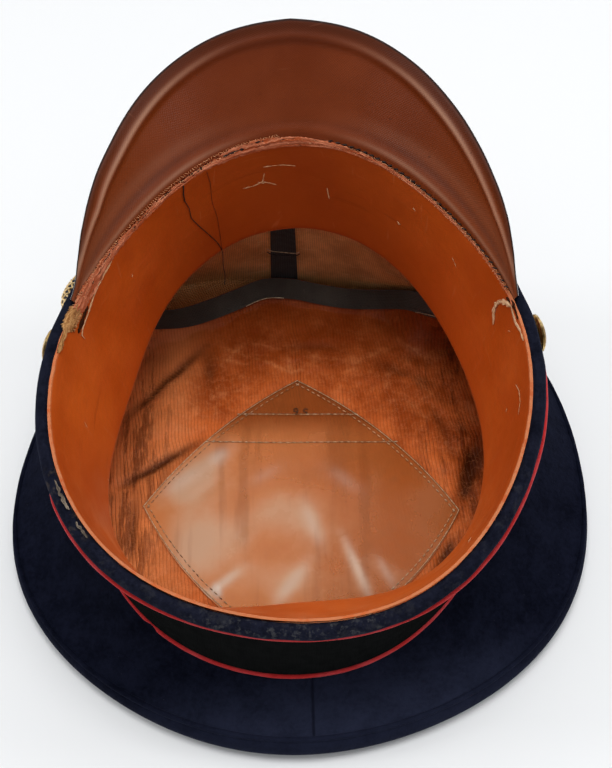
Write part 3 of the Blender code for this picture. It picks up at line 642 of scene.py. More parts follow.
def finished(obj, slot_name, *nodes):
    """Places a piece on the cap's one body, for the solids that it stands for."""
    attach(obj, "root")
    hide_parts(*nodes)


# Shader trees


class Node:
    """A new node with its inputs and settings. Its outputs are read by name or number."""

    def __init__(self, tree, kind, inputs=None, **settings):
        self.tree, self.made = tree, tree.nodes.new(kind)
        for key, value in settings.items():
            setattr(self.made, key, value)
        for key, value in (inputs or {}).items():
            socket = self.made.inputs[key]
            if isinstance(value, Value):
                tree.links.new(value.socket, socket)
            else:
                colour = socket.type == "RGBA" and len(value) == 3
                socket.default_value = (*value, 1) if colour else value

    def __getitem__(self, key):
        return Value(self.tree, self.made.outputs[key])


class Value:
    """What an output carries. Arithmetic on it adds Math nodes."""

    def __init__(self, tree, socket):
        self.tree, self.socket = tree, socket

    def math(self, operation, other=0.0, first=None, clamp=False):
        inputs = {0: self, 1: other} if first is None else {0: first, 1: self}
        return Node(self.tree, "ShaderNodeMath", inputs, operation=operation, use_clamp=clamp)[0]

    def __add__(self, other):
        return self.math("ADD", other)

    def __sub__(self, other):
        return self.math("SUBTRACT", other)

    def __rsub__(self, other):
        return self.math("SUBTRACT", first=other)

    def __mul__(self, other):
        return self.math("MULTIPLY", other)

    def __truediv__(self, other):
        return self.math("DIVIDE", other)

    def __rtruediv__(self, other):
        return self.math("DIVIDE", first=other)

    def __abs__(self):
        return self.math("ABSOLUTE")

    def vector(self, operation, other):
        inputs = {0: self, "Scale" if operation == "SCALE" else 1: other}
        return Node(self.tree, "ShaderNodeVectorMath", inputs, operation=operation)[0]

    def axes(self):
        parts = Node(self.tree, "ShaderNodeSeparateXYZ", {0: self})
        return parts[0], parts[1]

    def ramp(self, low, high, start=0.0, end=1.0):
        """Eases from start at low to end at high."""
        inputs = {"Value": self, "From Min": low, "From Max": high, "To Min": start, "To Max": end}
        return Node(self.tree, "ShaderNodeMapRange", inputs, interpolation_type="SMOOTHSTEP")[0]

    def noise(self, scale, detail=3.0, rough=0.55, stretch=None, turn=0.0):
        place = self
        if stretch:
            inputs = {"Vector": self, "Scale": stretch, "Rotation": (0, 0, turn)}
            place = Node(self.tree, "ShaderNodeMapping", inputs)[0]
        inputs = {"Vector": place, "Scale": scale, "Detail": detail, "Roughness": rough}
        return Node(self.tree, "ShaderNodeTexNoise", inputs)["Fac"]

    def stripes(self, width):
        """Ridges from 0 to 1 and back, each width apart."""
        return abs((self * (pi / width)).math("SINE"))


def effect(name, inputs, outputs):
    """An empty node group. inputs are {name: number, or None for a place}."""
    tree = bpy.data.node_groups.new(name, "ShaderNodeTree")
    for title, value in inputs.items():
        kind = "NodeSocketVector" if value is None else "NodeSocketFloat"
        socket = tree.interface.new_socket(title, in_out="INPUT", socket_type=kind)
        if value is not None:
            socket.default_value = value
    for title in outputs:
        tree.interface.new_socket(title, in_out="OUTPUT", socket_type="NodeSocketFloat")
    return tree, Node(tree, "NodeGroupInput")


def nap_effect():
    """Felted wool: short tangled fibres, with a height and a light-to-dark share."""
    tree, given = effect("nap", {"Place": None, "Fibre": 0.0006}, ("Height", "Shade"))
    fibres = given["Place"].noise(0.35 / given["Fibre"], 4.0, 0.7)
    tufts = given["Place"].noise(0.06 / given["Fibre"], 3.0, 0.6)
    Node(tree, "NodeGroupOutput", {"Height": fibres * 0.7 + 0.5, "Shade": fibres * 0.55 + tufts * 0.5})
    return tree


def weave_effect():
    """Woven threads along a map in metres: height of the threads, and a mask of the gaps."""
    tree, given = effect("weave", {"Map": None, "Thread": 0.0008}, ("Height", "Gaps"))
    warp, weft = (abs((part / given["Thread"] * pi).math("SINE")) for part in given["Map"].axes())
    height = warp * weft
    Node(tree, "NodeGroupOutput", {"Height": height, "Gaps": height.ramp(0.35, 0.05)})
    return tree


def scuff_effect():
    """Scratches and rubbed patches on a smooth finish, as masks."""
    tree, given = effect("scuffs", {"Place": None, "Size": 30.0, "Amount": 0.5}, ("Mask", "Scratches"))
    place, size = given["Place"], given["Size"]
    over = place.noise(size, 5.0, 0.65) - (0.78 - given["Amount"] * 0.2)
    first = place.noise(size, 2.0, 0.5, (1, 14, 1), 0.5).ramp(0.70, 0.76)
    second = place.noise(size, 2.0, 0.5, (1, 17, 1), 1.9).ramp(0.70, 0.76)
    masks = {"Mask": over.math("MULTIPLY", 9.0, clamp=True), "Scratches": first.math("MAXIMUM", second)}
    Node(tree, "NodeGroupOutput", masks)
    return tree


def crinkle_effect():
    """Crumpled sheet: ridges of folded cells, as a height and a mask of the sharp folds."""
    tree, given = effect("crinkles", {"Place": None, "Size": 60.0}, ("Height", "Folds"))
    bend = Node(tree, "ShaderNodeTexNoise", {"Vector": given["Place"], "Scale": given["Size"], "Detail": 2.0})
    moved = given["Place"].vector("ADD", bend["Color"].vector("SCALE", 0.012))
    inputs = {"Vector": moved, "Scale": given["Size"]}
    edge = Node(tree, "ShaderNodeTexVoronoi", inputs, feature="DISTANCE_TO_EDGE")["Distance"]
    Node(tree, "NodeGroupOutput", {"Height": edge.ramp(0.0, 0.25), "Folds": edge.ramp(0.06, 0.0)})
    return tree


NAP, WEAVE, SCUFFS, CRINKLES = nap_effect(), weave_effect(), scuff_effect(), crinkle_effect()


class Finish:
    """A material in the making, with a colour that tints are laid over. over is the map that it lies on."""

    def __init__(self, name, roughness, metallic=0.0, over=None, **plain):
        self.material = bpy.data.materials.new(name)
        self.material.use_nodes = True
        self.tree = self.material.node_tree
        self.sockets = self.tree.nodes["Principled BSDF"].inputs
        for key, value in {"Roughness": roughness, "Metallic": metallic, **plain}.items():
            self.sockets[key.replace("_", " ")].default_value = value
        self.place = self.map(over) if over else Node(self.tree, "ShaderNodeTexCoord")["Object"]

    def map(self, layer):
        return Node(self.tree, "ShaderNodeUVMap", uv_map=layer)[0]

    def effect(self, group, **inputs):
        return Node(self.tree, "ShaderNodeGroup", inputs, node_tree=group)

    def mix(self, share, first, second):
        inputs = {0: share, 6: first, 7: second}
        self.colour = Node(self.tree, "ShaderNodeMix", inputs, data_type="RGBA")[2]

    def tint(self, colour, share):
        """Lays a colour over the others where share says."""
        self.mix(share, self.colour, colour)

    def done(self, height, depth, strength, **fed):
        """Feeds the colour, the bump and other values to the shader, and gives the material."""
        inputs = {"Height": height, "Distance": depth, "Strength": strength}
        fed["Normal"] = Node(self.tree, "ShaderNodeBump", inputs)[0]
        fed["Base Color"] = self.colour
        for key, value in fed.items():
            self.tree.links.new(value.socket, self.sockets[key])
        return self.material


def wool(name, dark, light, fibre=0.0006, wear_and_highlight=(), seam=None, rim=None):
    """Felted wool. worn lists rubbed places, seam is a sewn line's place in x, rim the lit side's colour."""
    sheen = dict(Sheen_Weight=0.06, Sheen_Roughness=0.4, Sheen_Tint=(0.35, 0.4, 0.75, 1))
    cloth = Finish(name, 0.95, Specular_IOR_Level=0.04, **sheen)
    x, y = cloth.place.axes()
    nap = cloth.effect(NAP, Place=cloth.place, Fibre=fibre)
    cloth.mix(nap["Shade"].ramp(0.30, 0.72), dark, light)
    cloth.tint((0.07, 0.07, 0.09), cloth.place.noise(700.0, 2.0).ramp(0.76, 0.80, 0, 0.3))
    height = nap["Height"]
    if rim:
        # Painted light: the crown's outer zone at the back, which faces the lamps, takes the lighter rim
        # colour.
        cloth.tint(rim, (x * 0.15 - y).ramp(0.082, 0.116) * nap["Shade"].ramp(0.2, 0.8, 0.4, 1.0))
    for low, high, fade, tint, size, amount in wear_and_highlight:
        turn = cloth.map("shares").axes()[0]
        inside = turn.ramp(low, low + fade) * turn.ramp(high, high - fade)
        cloth.tint(tint, inside * cloth.place.noise(size, 4.0, 0.7).ramp(0.50, 0.66, 0, amount))
    if seam:
        groove = abs(x - seam).ramp(0.0008, 0.0) * y.ramp(-0.05, -0.06)
        cloth.tint((0.002, 0.002, 0.006), groove * 0.6)
        height = height - groove
    return cloth.done(height, 0.0006, 0.8)


def trim_cloth():
    cloth = Finish("black_trim_cloth", 0.95, Specular_IOR_Level=0.0)
    weave = cloth.effect(WEAVE, Map=cloth.map("metres"), Thread=0.0011)
    cloth.mix(cloth.place.noise(220.0), (0.0034, 0.0037, 0.0037), (0.0105, 0.0108, 0.0108))
    cloth.tint((0.05, 0.05, 0.05), cloth.place.noise(900.0, 2.0).ramp(0.74, 0.80, 0, 0.3))
    return cloth.done(weave["Height"], 0.0003, 0.6)


def piping_cloth():
    cloth = Finish("red_piping_cloth", 0.85, Sheen_Weight=0.12, Specular_IOR_Level=0.1)
    nap = cloth.effect(NAP, Place=cloth.place, Fibre=0.0005)
    cloth.mix(nap["Shade"], (0.26, 0.006, 0.008), (0.62, 0.030, 0.030))
    cloth.tint((0.52, 0.075, 0.085), cloth.place.noise(60.0).ramp(0.45, 0.65, 0, 0.4))
    cloth.tint((0.08, 0.006, 0.012), cloth.place.noise(130.0).ramp(0.64, 0.74, 0, 0.6))
    return cloth.done(nap["Height"], 0.0004, 0.8)


def band_leather():
    """The sweatband: waxed brown leather, paler at its cut edges, with scuffs, pores and fine lines, and
    painted shade towards the front.
    """
    hide = Finish("sweatband_leather", 0.42, Specular_IOR_Level=0.22)
    place = hide.place
    edge = hide.map("shares").axes()[1]
    hide.mix(place.noise(16.0, 5.0).ramp(0.34, 0.68), (0.43, 0.064, 0.006), (0.57, 0.105, 0.012))
    # Painted shade: darker towards the front, where the inner wall gets less light.
    hide.tint((0.25, 0.040, 0.005), place.axes()[1].ramp(0.030, 0.085, 0, 0.55))
    hide.tint((0.27, 0.036, 0.004), place.noise(38.0, 5.0, 0.65).ramp(0.56, 0.74, 0, 0.30))
    lines = hide.map("metres").noise(260.0, 4.0, 0.65, (0.06, 1, 1))
    hide.tint((0.56, 0.15, 0.045), lines.ramp(0.60, 0.74, 0, 0.22))
    hide.tint((0.17, 0.026, 0.004), lines.ramp(0.40, 0.28, 0, 0.30))
    scuffs = hide.effect(SCUFFS, Place=place, Size=60.0, Amount=0.35)
    hide.tint((0.62, 0.24, 0.10), scuffs["Scratches"] * 0.16)
    rim = edge.ramp(0.018, 0.004) * place.noise(260.0, 4.0, 0.7).ramp(0.34, 0.54, 0.25, 1.0)
    cut = rim.math("MAXIMUM", edge.ramp(0.988, 1.0) * 0.7)
    hide.tint((0.52, 0.185, 0.075), cut * 0.75)
    pores = Node(hide.tree, "ShaderNodeTexVoronoi", {"Vector": place, "Scale": 1500.0})["Distance"]
    height = pores * 0.16 + place.noise(120.0, 4.0) * 0.6 + lines * 0.6
    return hide.done(height, 0.0005, 0.40, Roughness=place.noise(70.0).ramp(0.3, 0.7, 0.30, 0.50))


def visor_brown():
    """The visor's underside: brown lacquered cloth with a fine woven hatch, darker at the rim, with painted
    sheen on its sides, painted highlights on its ridge and roll, and painted shade in its root fold.
    """
    skin = Finish("visor_brown", 0.36, Specular_IOR_Level=0.17, Coat_Weight=0.06, Coat_Roughness=0.25)
    place = skin.place
    along_root, along_reach = skin.map("metres").axes()
    around, reach = skin.map("shares").axes()
    wear_and_highlight, painted_fold_shade = skin.map("marks").axes()
    skin.mix(place.noise(22.0, 4.0).ramp(0.3, 0.7), (0.138, 0.0225, 0.0034), (0.190, 0.035, 0.0068))
    # Painted sheen: the visor's sides are lighter where they face the lamps.
    skin.tint((0.275, 0.061, 0.014), abs(around - 0.5).ramp(0.10, 0.42, 0, 0.5))
    skin.tint((0.060, 0.014, 0.005), reach.ramp(0.76, 0.98) * 0.80)
    # Painted shade in the valley of the root fold.
    skin.tint((0.045, 0.009, 0.003), painted_fold_shade * 0.45)
    # Painted highlights along the ridge and the roll of the visor's sides.
    skin.tint((0.50, 0.27, 0.17), wear_and_highlight * 0.55)
    skin.tint((0.009, 0.006, 0.005), reach.ramp(0.975, 0.992, 0, 0.85))
    skin.tint((0.045, 0.010, 0.004), place.noise(480.0, 2.0).ramp(0.70, 0.76, 0, 0.4))
    one, other = ((along_root + along_reach * lean).stripes(0.0010) for lean in (0.8, -1.2))
    hatch = one.math("MINIMUM", other)
    skin.tint((0.060, 0.012, 0.004), hatch.ramp(0.30, 0.0, 0, 0.30))
    scuffs = skin.effect(SCUFFS, Place=place, Size=50.0, Amount=0.3)
    skin.tint((0.28, 0.10, 0.05), scuffs["Scratches"] * 0.15)
    height = hatch * 0.6 + place.noise(160.0, 4.0) * 0.5
    return skin.done(height, 0.00025, 0.45, Roughness=place.noise(45.0).ramp(0.3, 0.7, 0.29, 0.44))


def lacquer_black():
    skin = Finish("visor_black", 0.18, Specular_IOR_Level=0.6, Coat_Weight=0.5, Coat_Roughness=0.08)
    scuffs = skin.effect(SCUFFS, Place=skin.place, Size=45.0, Amount=0.5)
    skin.mix(scuffs["Scratches"] * 0.3, (0.008, 0.006, 0.006), (0.09, 0.07, 0.06))
    rough = scuffs["Mask"].ramp(0.0, 1.0, 0.16, 0.38)
    return skin.done(skin.place.noise(260.0), 0.0002, 0.25, Roughness=rough)


def oilcloth():
    """The lining: waxed ribbed cloth, crumpled, rubbed pale on its cracks, with painted shade in its folds.
    """
    cloth = Finish("oilcloth", 0.50, Specular_IOR_Level=0.16)
    place = cloth.place
    x, y = place.axes()
    folds, cracks = cloth.map("marks").axes()
    ribs = (x + place.noise(30.0, 2.0) * 0.006 + y * 0.10).stripes(0.0014)
    fine = cloth.effect(CRINKLES, Place=place, Size=210.0)
    tone = place.noise(30.0, 6.0, 0.7)
    cloth.mix(tone.ramp(0.36, 0.66), (0.33, 0.055, 0.007), (0.70, 0.16, 0.035))
    shaded = y.ramp(0.040, 0.080, 0, 0.80)
    cloth.tint((0.165, 0.024, 0.002), shaded)
    bare = 1.0 - shaded * 0.95
    cloudy = place.noise(85.0, 6.0, 0.75).ramp(0.50, 0.68, 0, 0.45)
    cloth.tint((0.76, 0.25, 0.085), cloudy * bare)
    cloth.tint((0.92, 0.31, 0.10), x.ramp(-0.034, -0.056, 0, 0.45))
    streaks = place.noise(170.0, 5.0, 0.72, (1, 0.12, 1)).ramp(0.51, 0.62, 0, 0.62)
    cloth.tint((0.085, 0.013, 0.002), abs(x).ramp(0.040, 0.066) * streaks)
    rubbed = cracks * place.noise(380.0, 4.0, 0.7).ramp(0.34, 0.60)
    cloth.tint((0.86, 0.33, 0.12), rubbed * 0.45)
    # Painted shade in the valleys of the folds.
    cloth.tint((0.050, 0.010, 0.002), folds * 0.92)
    cloth.tint((0.82, 0.33, 0.14), fine["Folds"] * (bare * 0.16))
    wear_and_highlight = place.noise(160.0, 3.0, 0.6, (1, 0.12, 1)).ramp(0.56, 0.66) * 0.6 + 0.5
    cloth.tint((0.10, 0.018, 0.003), ribs.ramp(0.45, 0.0) * wear_and_highlight * 0.75)
    height = tone * 0.9 + fine["Height"] * 0.12 + ribs * 0.18 + cloudy * 0.35
    return cloth.done(height, 0.0011, 0.60, Roughness=tone.ramp(0.3, 0.7, 0.52, 0.36))


def celluloid():
    """The aged clear sheet: cloudy white where it is strained, with painted sheen there and painted
    highlights on its creases, brown where the ribs show through.
    """
    sheet = Finish("clear_celluloid", 0.24, Specular_IOR_Level=0.3)
    place = sheet.place
    x, y = place.axes()
    milk_and_sheen, crease = sheet.map("marks").axes()
    tone = place.noise(26.0, 5.0, 0.6)
    upper = y.ramp(0.018, 0.034)
    milky_and_sheen = milk_and_sheen.math("ADD", tone.ramp(0.30, 0.70, 0.0, 0.35), clamp=True) * upper.ramp(0.0, 1.0, 1.0, 0.25)
    sheet.mix(x.ramp(-0.02, 0.05), (0.86, 0.32, 0.105), (0.54, 0.145, 0.029))
    sheet.tint((0.30, 0.060, 0.005), upper * 0.8)
    # Cloudy white where the sheet is strained, with painted sheen over it.
    sheet.tint((0.72, 0.43, 0.26), milky_and_sheen.ramp(0.15, 1.0))
    sheet.tint((0.30, 0.085, 0.022), place.noise(120.0, 3.0, 0.6, (1, 0.10, 1)).ramp(0.50, 0.68, 0, 0.3))
    # Painted highlights along the creases.
    sheet.tint((0.88, 0.76, 0.64), crease * 0.75)
    height = place.noise(60.0, 4.0, 0.6) * 0.8 + crease * 0.5
    fed = {"Alpha": milky_and_sheen.ramp(0.0, 0.9, 0.42, 0.82), "Roughness": tone.ramp(0.3, 0.7, 0.16, 0.34)}
    return sheet.done(height, 0.0009, 0.5, **fed)


def canvas_cloth():
    cloth = Finish("brown_canvas_cloth", 0.85, Specular_IOR_Level=0.15)
    place, metres = cloth.place, cloth.map("metres")
    weave = cloth.effect(WEAVE, Map=metres, Thread=0.0010)
    cloth.mix(place.noise(60.0, 5.0, 0.65).ramp(0.32, 0.68), (0.60, 0.285, 0.100), (0.92, 0.47, 0.185))
    cloth.tint((0.86, 0.36, 0.11), place.noise(25.0).ramp(0.50, 0.62, 0, 0.4))
    cloth.tint((0.95, 0.62, 0.32), metres.noise(500.0, 2.0, 0.5, (0.2, 1, 1)).ramp(0.60, 0.72, 0, 0.45))
    cloth.tint((0.09, 0.032, 0.009), weave["Gaps"] * 0.42)
    return cloth.done(weave["Height"], 0.0005, 0.9)


def tape_cloth(name, dark, light, thread=0.0007):
    cloth = Finish(name, 0.8, Sheen_Weight=0.15, Specular_IOR_Level=0.3)
    weave = cloth.effect(WEAVE, Map=cloth.map("metres"), Thread=thread)
    cloth.mix(cloth.place.noise(90.0, 4.0), dark, light)
    cloth.tint((0.16, 0.12, 0.09), cloth.place.noise(650.0, 2.0).ramp(0.70, 0.76, 0, 0.5))
    return cloth.done(weave["Height"], 0.0003, 0.8)


def torn_leather(name, dark, light, size=260.0):
    """Torn fibres of leather or cloth: rough, streaked and specked with dirt."""
    torn = Finish(name, 0.85, over="metres", Specular_IOR_Level=0.1)
    streaks = torn.place.noise(size * 3, 4.0, 0.65, (0.10, 1, 1))
    torn.mix(streaks.ramp(0.35, 0.68), dark, light)
    dirt = torn.place.noise(size * 2, 4.0, 0.7, (0.3, 1, 1))
    torn.tint((0.10, 0.020, 0.006), dirt.ramp(0.56, 0.68, 0, 0.8))
    return torn.done(streaks, 0.0007, 0.9)


def thread_finish(name, dark, light, metallic=0.0, rough=0.7):
    thread = Finish(name, rough, metallic)
    twist = thread.place.noise(900.0, 2.0)
    thread.mix(twist.ramp(0.35, 0.65), dark, light)
    return thread.done(twist, 0.0003, 0.6, Roughness=twist.ramp(0.3, 0.7, rough - 0.08, min(rough + 0.1, 1)))


def brass():
    metal = Finish("button_brass", 0.35, 1.0)
    tone = metal.place.noise(160.0, 4.0)
    metal.mix(tone.ramp(0.35, 0.65), (0.34, 0.20, 0.06), (0.78, 0.56, 0.24))
    metal.tint((0.05, 0.028, 0.010), metal.place.noise(900.0, 2.0, 0.5, (1, 1, 0.3)).ramp(0.52, 0.62, 0, 0.5))
    return metal.done(tone, 0.0003, 0.4, Roughness=tone.ramp(0.3, 0.7, 0.50, 0.26))


def floor_finish():
    pale = Finish("pale_floor", 0.9, Specular_IOR_Level=0.1)
    pale.mix(pale.place.noise(3.0, 2.0), (0.828, 0.835, 0.845), (0.843, 0.85, 0.857))
    pale.tree.links.new(pale.colour.socket, pale.sockets["Base Color"])
    return pale.material


# Torn or rubbed leather and cloth, and the painted shade in tears: name, dark, light, fineness

TORN = {
    "strip": ("torn_leather", (0.36, 0.070, 0.020), (0.60, 0.215, 0.115)),
    "cloth": ("torn_cloth", (0.22, 0.085, 0.022), (0.62, 0.33, 0.13), 420.0),
    "pale": ("rubbed_leather", (0.56, 0.29, 0.13), (0.92, 0.64, 0.40), 420.0),
    "scuff": ("strip_rub", (0.045, 0.036, 0.030), (0.33, 0.26, 0.19), 420.0),
    "gap": ("tear_shadow", (0.020, 0.007, 0.003), (0.075, 0.020, 0.007)),
}
# Threads: name, dark, light, metallic, roughness
THREADS = {
    "fibre": ("leather_fibre", (0.42, 0.12, 0.035), (0.72, 0.36, 0.18)),
    "dark": ("dark_thread_and_slit_shade", (0.006, 0.005, 0.006), (0.03, 0.022, 0.02)),
    "cream": ("cream_thread", (0.30, 0.21, 0.12), (0.62, 0.48, 0.32)),
    "brown": ("brown_thread", (0.16, 0.075, 0.03), (0.50, 0.34, 0.20)),
    "tape": ("tape_thread", (0.010, 0.009, 0.008), (0.06, 0.055, 0.05)),
    "ink": ("stamp_ink", (0.030, 0.012, 0.006), (0.075, 0.030, 0.012)),
    "gold": ("gold_wire", (0.46, 0.28, 0.10), (0.88, 0.66, 0.34), 0.45, 0.40),
    "core": ("navy_cord_core", (0.004, 0.005, 0.012), (0.014, 0.017, 0.036)),
}
TORN = {key: torn_leather(*row) for key, row in TORN.items()}
THREADS = {key: thread_finish(*row) for key, row in THREADS.items()}


# Geometry Nodes trees


def line_tree(name, numbers, result):
    """A tree with a line, numbers and a finish going in, and one result."""
    tree = bpy.data.node_groups.new(name, "GeometryNodeTree")
    face = tree.interface
    face.new_socket("Line", in_out="INPUT", socket_type="NodeSocketGeometry")
    for title, value in numbers.items():
        kind = "NodeSocketInt" if isinstance(value, int) else "NodeSocketFloat"
        face.new_socket(title, in_out="INPUT", socket_type=kind).default_value = value
    face.new_socket("Finish", in_out="INPUT", socket_type="NodeSocketMaterial")
    face.new_socket(result, in_out="OUTPUT", socket_type="NodeSocketGeometry")
    given = Node(tree, "NodeGroupInput")
    return tree, given, Node(tree, "GeometryNodeMeshToCurve", {"Mesh": given["Line"]})[0]


def realised(tree, given, shape):
    real = Node(tree, "GeometryNodeRealizeInstances", {0: shape})[0]
    last = Node(tree, "GeometryNodeSetMaterial", {"Geometry": real, "Material": given["Finish"]})[0]
    Node(tree, "NodeGroupOutput", {0: last})
    return tree


def stitch_tree():
    """Stitches along a line: each a short bent thread, leaning and a little uneven."""
    numbers = {"Spacing": 0.003, "Length": 0.002, "Thread": 0.0003, "Lean": 0.0, "Uneven": 0.3, "Seed": 3}
    tree, given, curve = line_tree("stitches", numbers, "Stitches")
    inputs = {"Curve": curve, "Length": given["Spacing"]}
    even = Node(tree, "GeometryNodeResampleCurve", inputs, mode="LENGTH")[0]
    tangent = Node(tree, "GeometryNodeInputTangent")[0]
    inputs = {2: -1.0, 3: 1.0, "Seed": given["Seed"]}
    jitter = Node(tree, "FunctionNodeRandomValue", inputs, data_type="FLOAT")[1]
    inputs = {"Segments": 8, "Rings": 6, "Radius": given["Length"] * 0.5}
    thread = Node(tree, "GeometryNodeMeshUVSphere", inputs)[0]
    thin = given["Thread"] / given["Length"]
    scale = Node(tree, "ShaderNodeCombineXYZ", {0: 1.0, 1: thin, 2: thin})[0]
    slim = Node(tree, "GeometryNodeTransform", {"Geometry": thread, "Scale": scale})[0]
    aligned = Node(tree, "FunctionNodeAlignRotationToVector", {"Vector": tangent}, axis="X")[0]
    spin = Node(tree, "ShaderNodeCombineXYZ", {2: given["Lean"] + jitter * given["Uneven"]})[0]
    inputs = {"Rotation": aligned, "Rotate By": spin}
    turned = Node(tree, "FunctionNodeRotateRotation", inputs, rotation_space="LOCAL")[0]
    inputs = {"Points": even, "Instance": slim, "Rotation": turned}
    return realised(tree, given, Node(tree, "GeometryNodeInstanceOnPoints", inputs)[0])


def braid_tree():
    """Wires wound both ways round a line, over and under each other."""
    numbers = {"Radius": 0.0018, "Wire": 0.0003, "Pitch": 0.009, "Weave": 0.0002, "Wires": 8, "Steps": 900}
    tree, given, curve = line_tree("braid", numbers, "Braid")
    even = Node(tree, "GeometryNodeResampleCurve", {"Curve": curve, "Count": given["Steps"]}, mode="COUNT")[0]
    inputs = {"Geometry": even, "Amount": given["Wires"]}
    copies = Node(tree, "GeometryNodeDuplicateElements", inputs, domain="SPLINE")
    index = copies["Duplicate Index"]
    sign = index.math("MODULO", 2.0) * 2.0 - 1.0
    half = given["Wires"] * 0.5
    phase = (index * 0.5).math("FLOOR") / half * (2 * pi)
    turn = Node(tree, "GeometryNodeSplineParameter")["Length"] / given["Pitch"] * (2 * pi)
    angle = turn * sign + phase
    reach = given["Radius"] + (turn * half).math("COSINE") * sign * given["Weave"]
    normal = Node(tree, "GeometryNodeInputNormal")[0]
    side = Node(tree, "GeometryNodeInputTangent")[0].vector("CROSS_PRODUCT", normal)
    up = normal.vector("SCALE", angle.math("COSINE") * reach)
    offset = up.vector("ADD", side.vector("SCALE", angle.math("SINE") * reach))
    moved = Node(tree, "GeometryNodeSetPosition", {"Geometry": copies[0], "Offset": offset})[0]
    wire = Node(tree, "GeometryNodeCurvePrimitiveCircle", {"Resolution": 5, "Radius": given["Wire"]})[0]
    inputs = {"Curve": moved, "Profile Curve": wire, "Fill Caps": True}
    return realised(tree, given, Node(tree, "GeometryNodeCurveToMesh", inputs)[0])


STITCHES, BRAID = stitch_tree(), braid_tree()


def along(name, tree, points, closed=False, **inputs):
    """Runs a Geometry Nodes tree on a line and gives its result as a plain mesh."""
    mesh = bpy.data.meshes.new("line")
    edges = [(i, i + 1) for i in range(len(points) - 1)] + [(len(points) - 1, 0)] * closed
    mesh.from_pydata([tuple(p) for p in points], edges, [])
    line = linked("line", mesh)
    modifier = line.modifiers.new("made", "NODES")
    modifier.node_group = tree
    for socket in tree.interface.items_tree:
        if socket.in_out == "INPUT" and socket.name in inputs:
            modifier[socket.identifier] = inputs[socket.name]
    made = made_plain(line, name)
    made.data.shade_smooth()
    return made


def stitched(name, points, spacing, length, thread, finish, uneven, lean=0.0, seed=3):
    sizes = dict(Spacing=spacing, Length=length, Thread=thread, Uneven=uneven, Lean=lean, Seed=seed)
    return along(name, STITCHES, points, **sizes, Finish=finish)


# Pieces of the cap


def make_crown_top(material):
    face, back = [], []
    for angle in angles():
        section = CrownSection(angle)
        end = section.seam - WELT * 0.3 / CROWN_ROLL
        for rows, inset in ((face, 0), (back, CLOTH)):
            row = [section.flat_point(share, inset) for share in (0, 0.3, 0.6, 0.85, 1)]
            for step in range(1, 13):
                roll = -pi / 2 + (end + pi / 2) * step / 12
                row.append(section.roll_point(roll, inset))
            rows.append(row)
    piece = shell("crown_top_cloth", face, back, True, [material])
    finished(piece, "navy_wool", "crown_top")


def make_crown_side(material):
    face, back = [], []
    for angle in angles():
        section = CrownSection(angle)
        start = WELT * 0.2 / section.width
        facing = section.normal(section.seam)
        for rows, inset in ((face, 0), (back, CLOTH)):
            row = []
            for step in range(31):
                share = start + (1 - start) * step / 30
                point = section.side_point(share, inset)
                near = exp(-share * 7)
                soft = noise(point * 26) * 0.0010 * sin(pi * share)
                pucker = noise(spoke(angle) * 17) * 0.0005 * near
                row.append(point + facing * (soft + pucker))
            rows.append(row)
    piece = shell("crown_side_cloth", face, back, True, [material])
    finished(piece, "navy_wool", "crown_side")


def make_crown_welt(material):
    points = [CrownSection(angle).seam_point for angle in angles()]
    radii = [WELT / 2 * (1 + 0.12 * noise(p * 120)) for p in points]
    piece = tube("crown_welt_cord", points, WELT / 2, material, True, 10, radii)
    finished(piece, "navy_wool", "crown_welt")


def make_band_core(material):
    """The band's wall with the navy strip rolled over the rim, its lower edge out to the piping."""
    lower = BAND_HEIGHT + PIPING / 2
    profiles = []
    for angle in angles():
        stand = piping_stand(angle)
        soft = noise(spoke(angle) * 9) * 0.00035
        strip = []
        for inset, bulge, share in RIM_PROFILE:
            out = bulge * STRIP_BULGE - inset * BAND_WALL + soft * (inset < 0.5)
            low = eased((share - 0.3) / 0.36)
            out += low * max(0, stand - 0.0007 - out)
            strip.append(face_point(angle, out, share * EDGE_STRIP))
        over = strip_over(angle)
        end_out = max(0, stand - 0.0007 + 0.0009 * over)
        strip.append(face_point(angle, end_out, EDGE_STRIP - SEAT + 0.0016 * over))
        fine = [strip[0]]
        for i in range(1, len(strip)):
            fine.extend(strip[i - 1].lerp(strip[i], share) for share in (0.5, 1.0))
        for _ in range(2):
            inner = [(a + b * 2 + c) / 4 for a, b, c in zip(fine, fine[1:], fine[2:])]
            fine = [fine[0], *inner, fine[-1]]
        back = [(-SEAT, EDGE_STRIP - SEAT), (-SEAT, lower), (-BAND_WALL, lower)]
        profiles.append(fine + [face_point(angle, out, depth) for out, depth in back])
    finished(ring_loop("edge_strip_cloth", profiles, material), "navy_strip", "band_core")


def make_band_trim(material):
    profiles = []
    start, end = EDGE_STRIP + SEAT, BAND_HEIGHT - SEAT
    for angle in angles():
        stand = piping_stand(angle)
        back = [face_point(angle, GAP - SEAT, depth) for depth in (start, (start + end) / 2, end)]
        front = []
        for step in range(17):
            depth = end + (start - end) * step / 16
            edge = min(step, 16 - step)
            flare = max(0, stand - 0.0006) * exp(-(depth - start) / 0.0045)
            out = TRIM_FACE + flare - 0.0003 * exp(-edge * 1.4)
            front.append(face_point(angle, out, depth))
        profiles.append(back + front)
    finished(ring_loop("trim_cloth_band", profiles, material), "black_trim", "band_trim")


def make_piping(name, node_name, depth, material, stand=None, worn_at=None):
    """A red piping. stand gives how far it is out of its seam, worn_at where it is rubbed through."""
    points, radii = [], []
    for angle in angles(480):
        point = face_point(angle, stand(angle) if stand else 0, depth)
        sway = noise(point * 60) * 0.00025
        points.append(point + UP * sway)
        thin = 0.7 * exp(-((angle_from(angle, worn_at) / 1.3) ** 4)) if worn_at else 0
        radii.append(PIPING / 2 * (1 + 0.10 * noise(point * 150)) * (1 - thin))
    finished(tube(name, points, PIPING / 2, material, True, 10, radii), "red_piping", node_name)


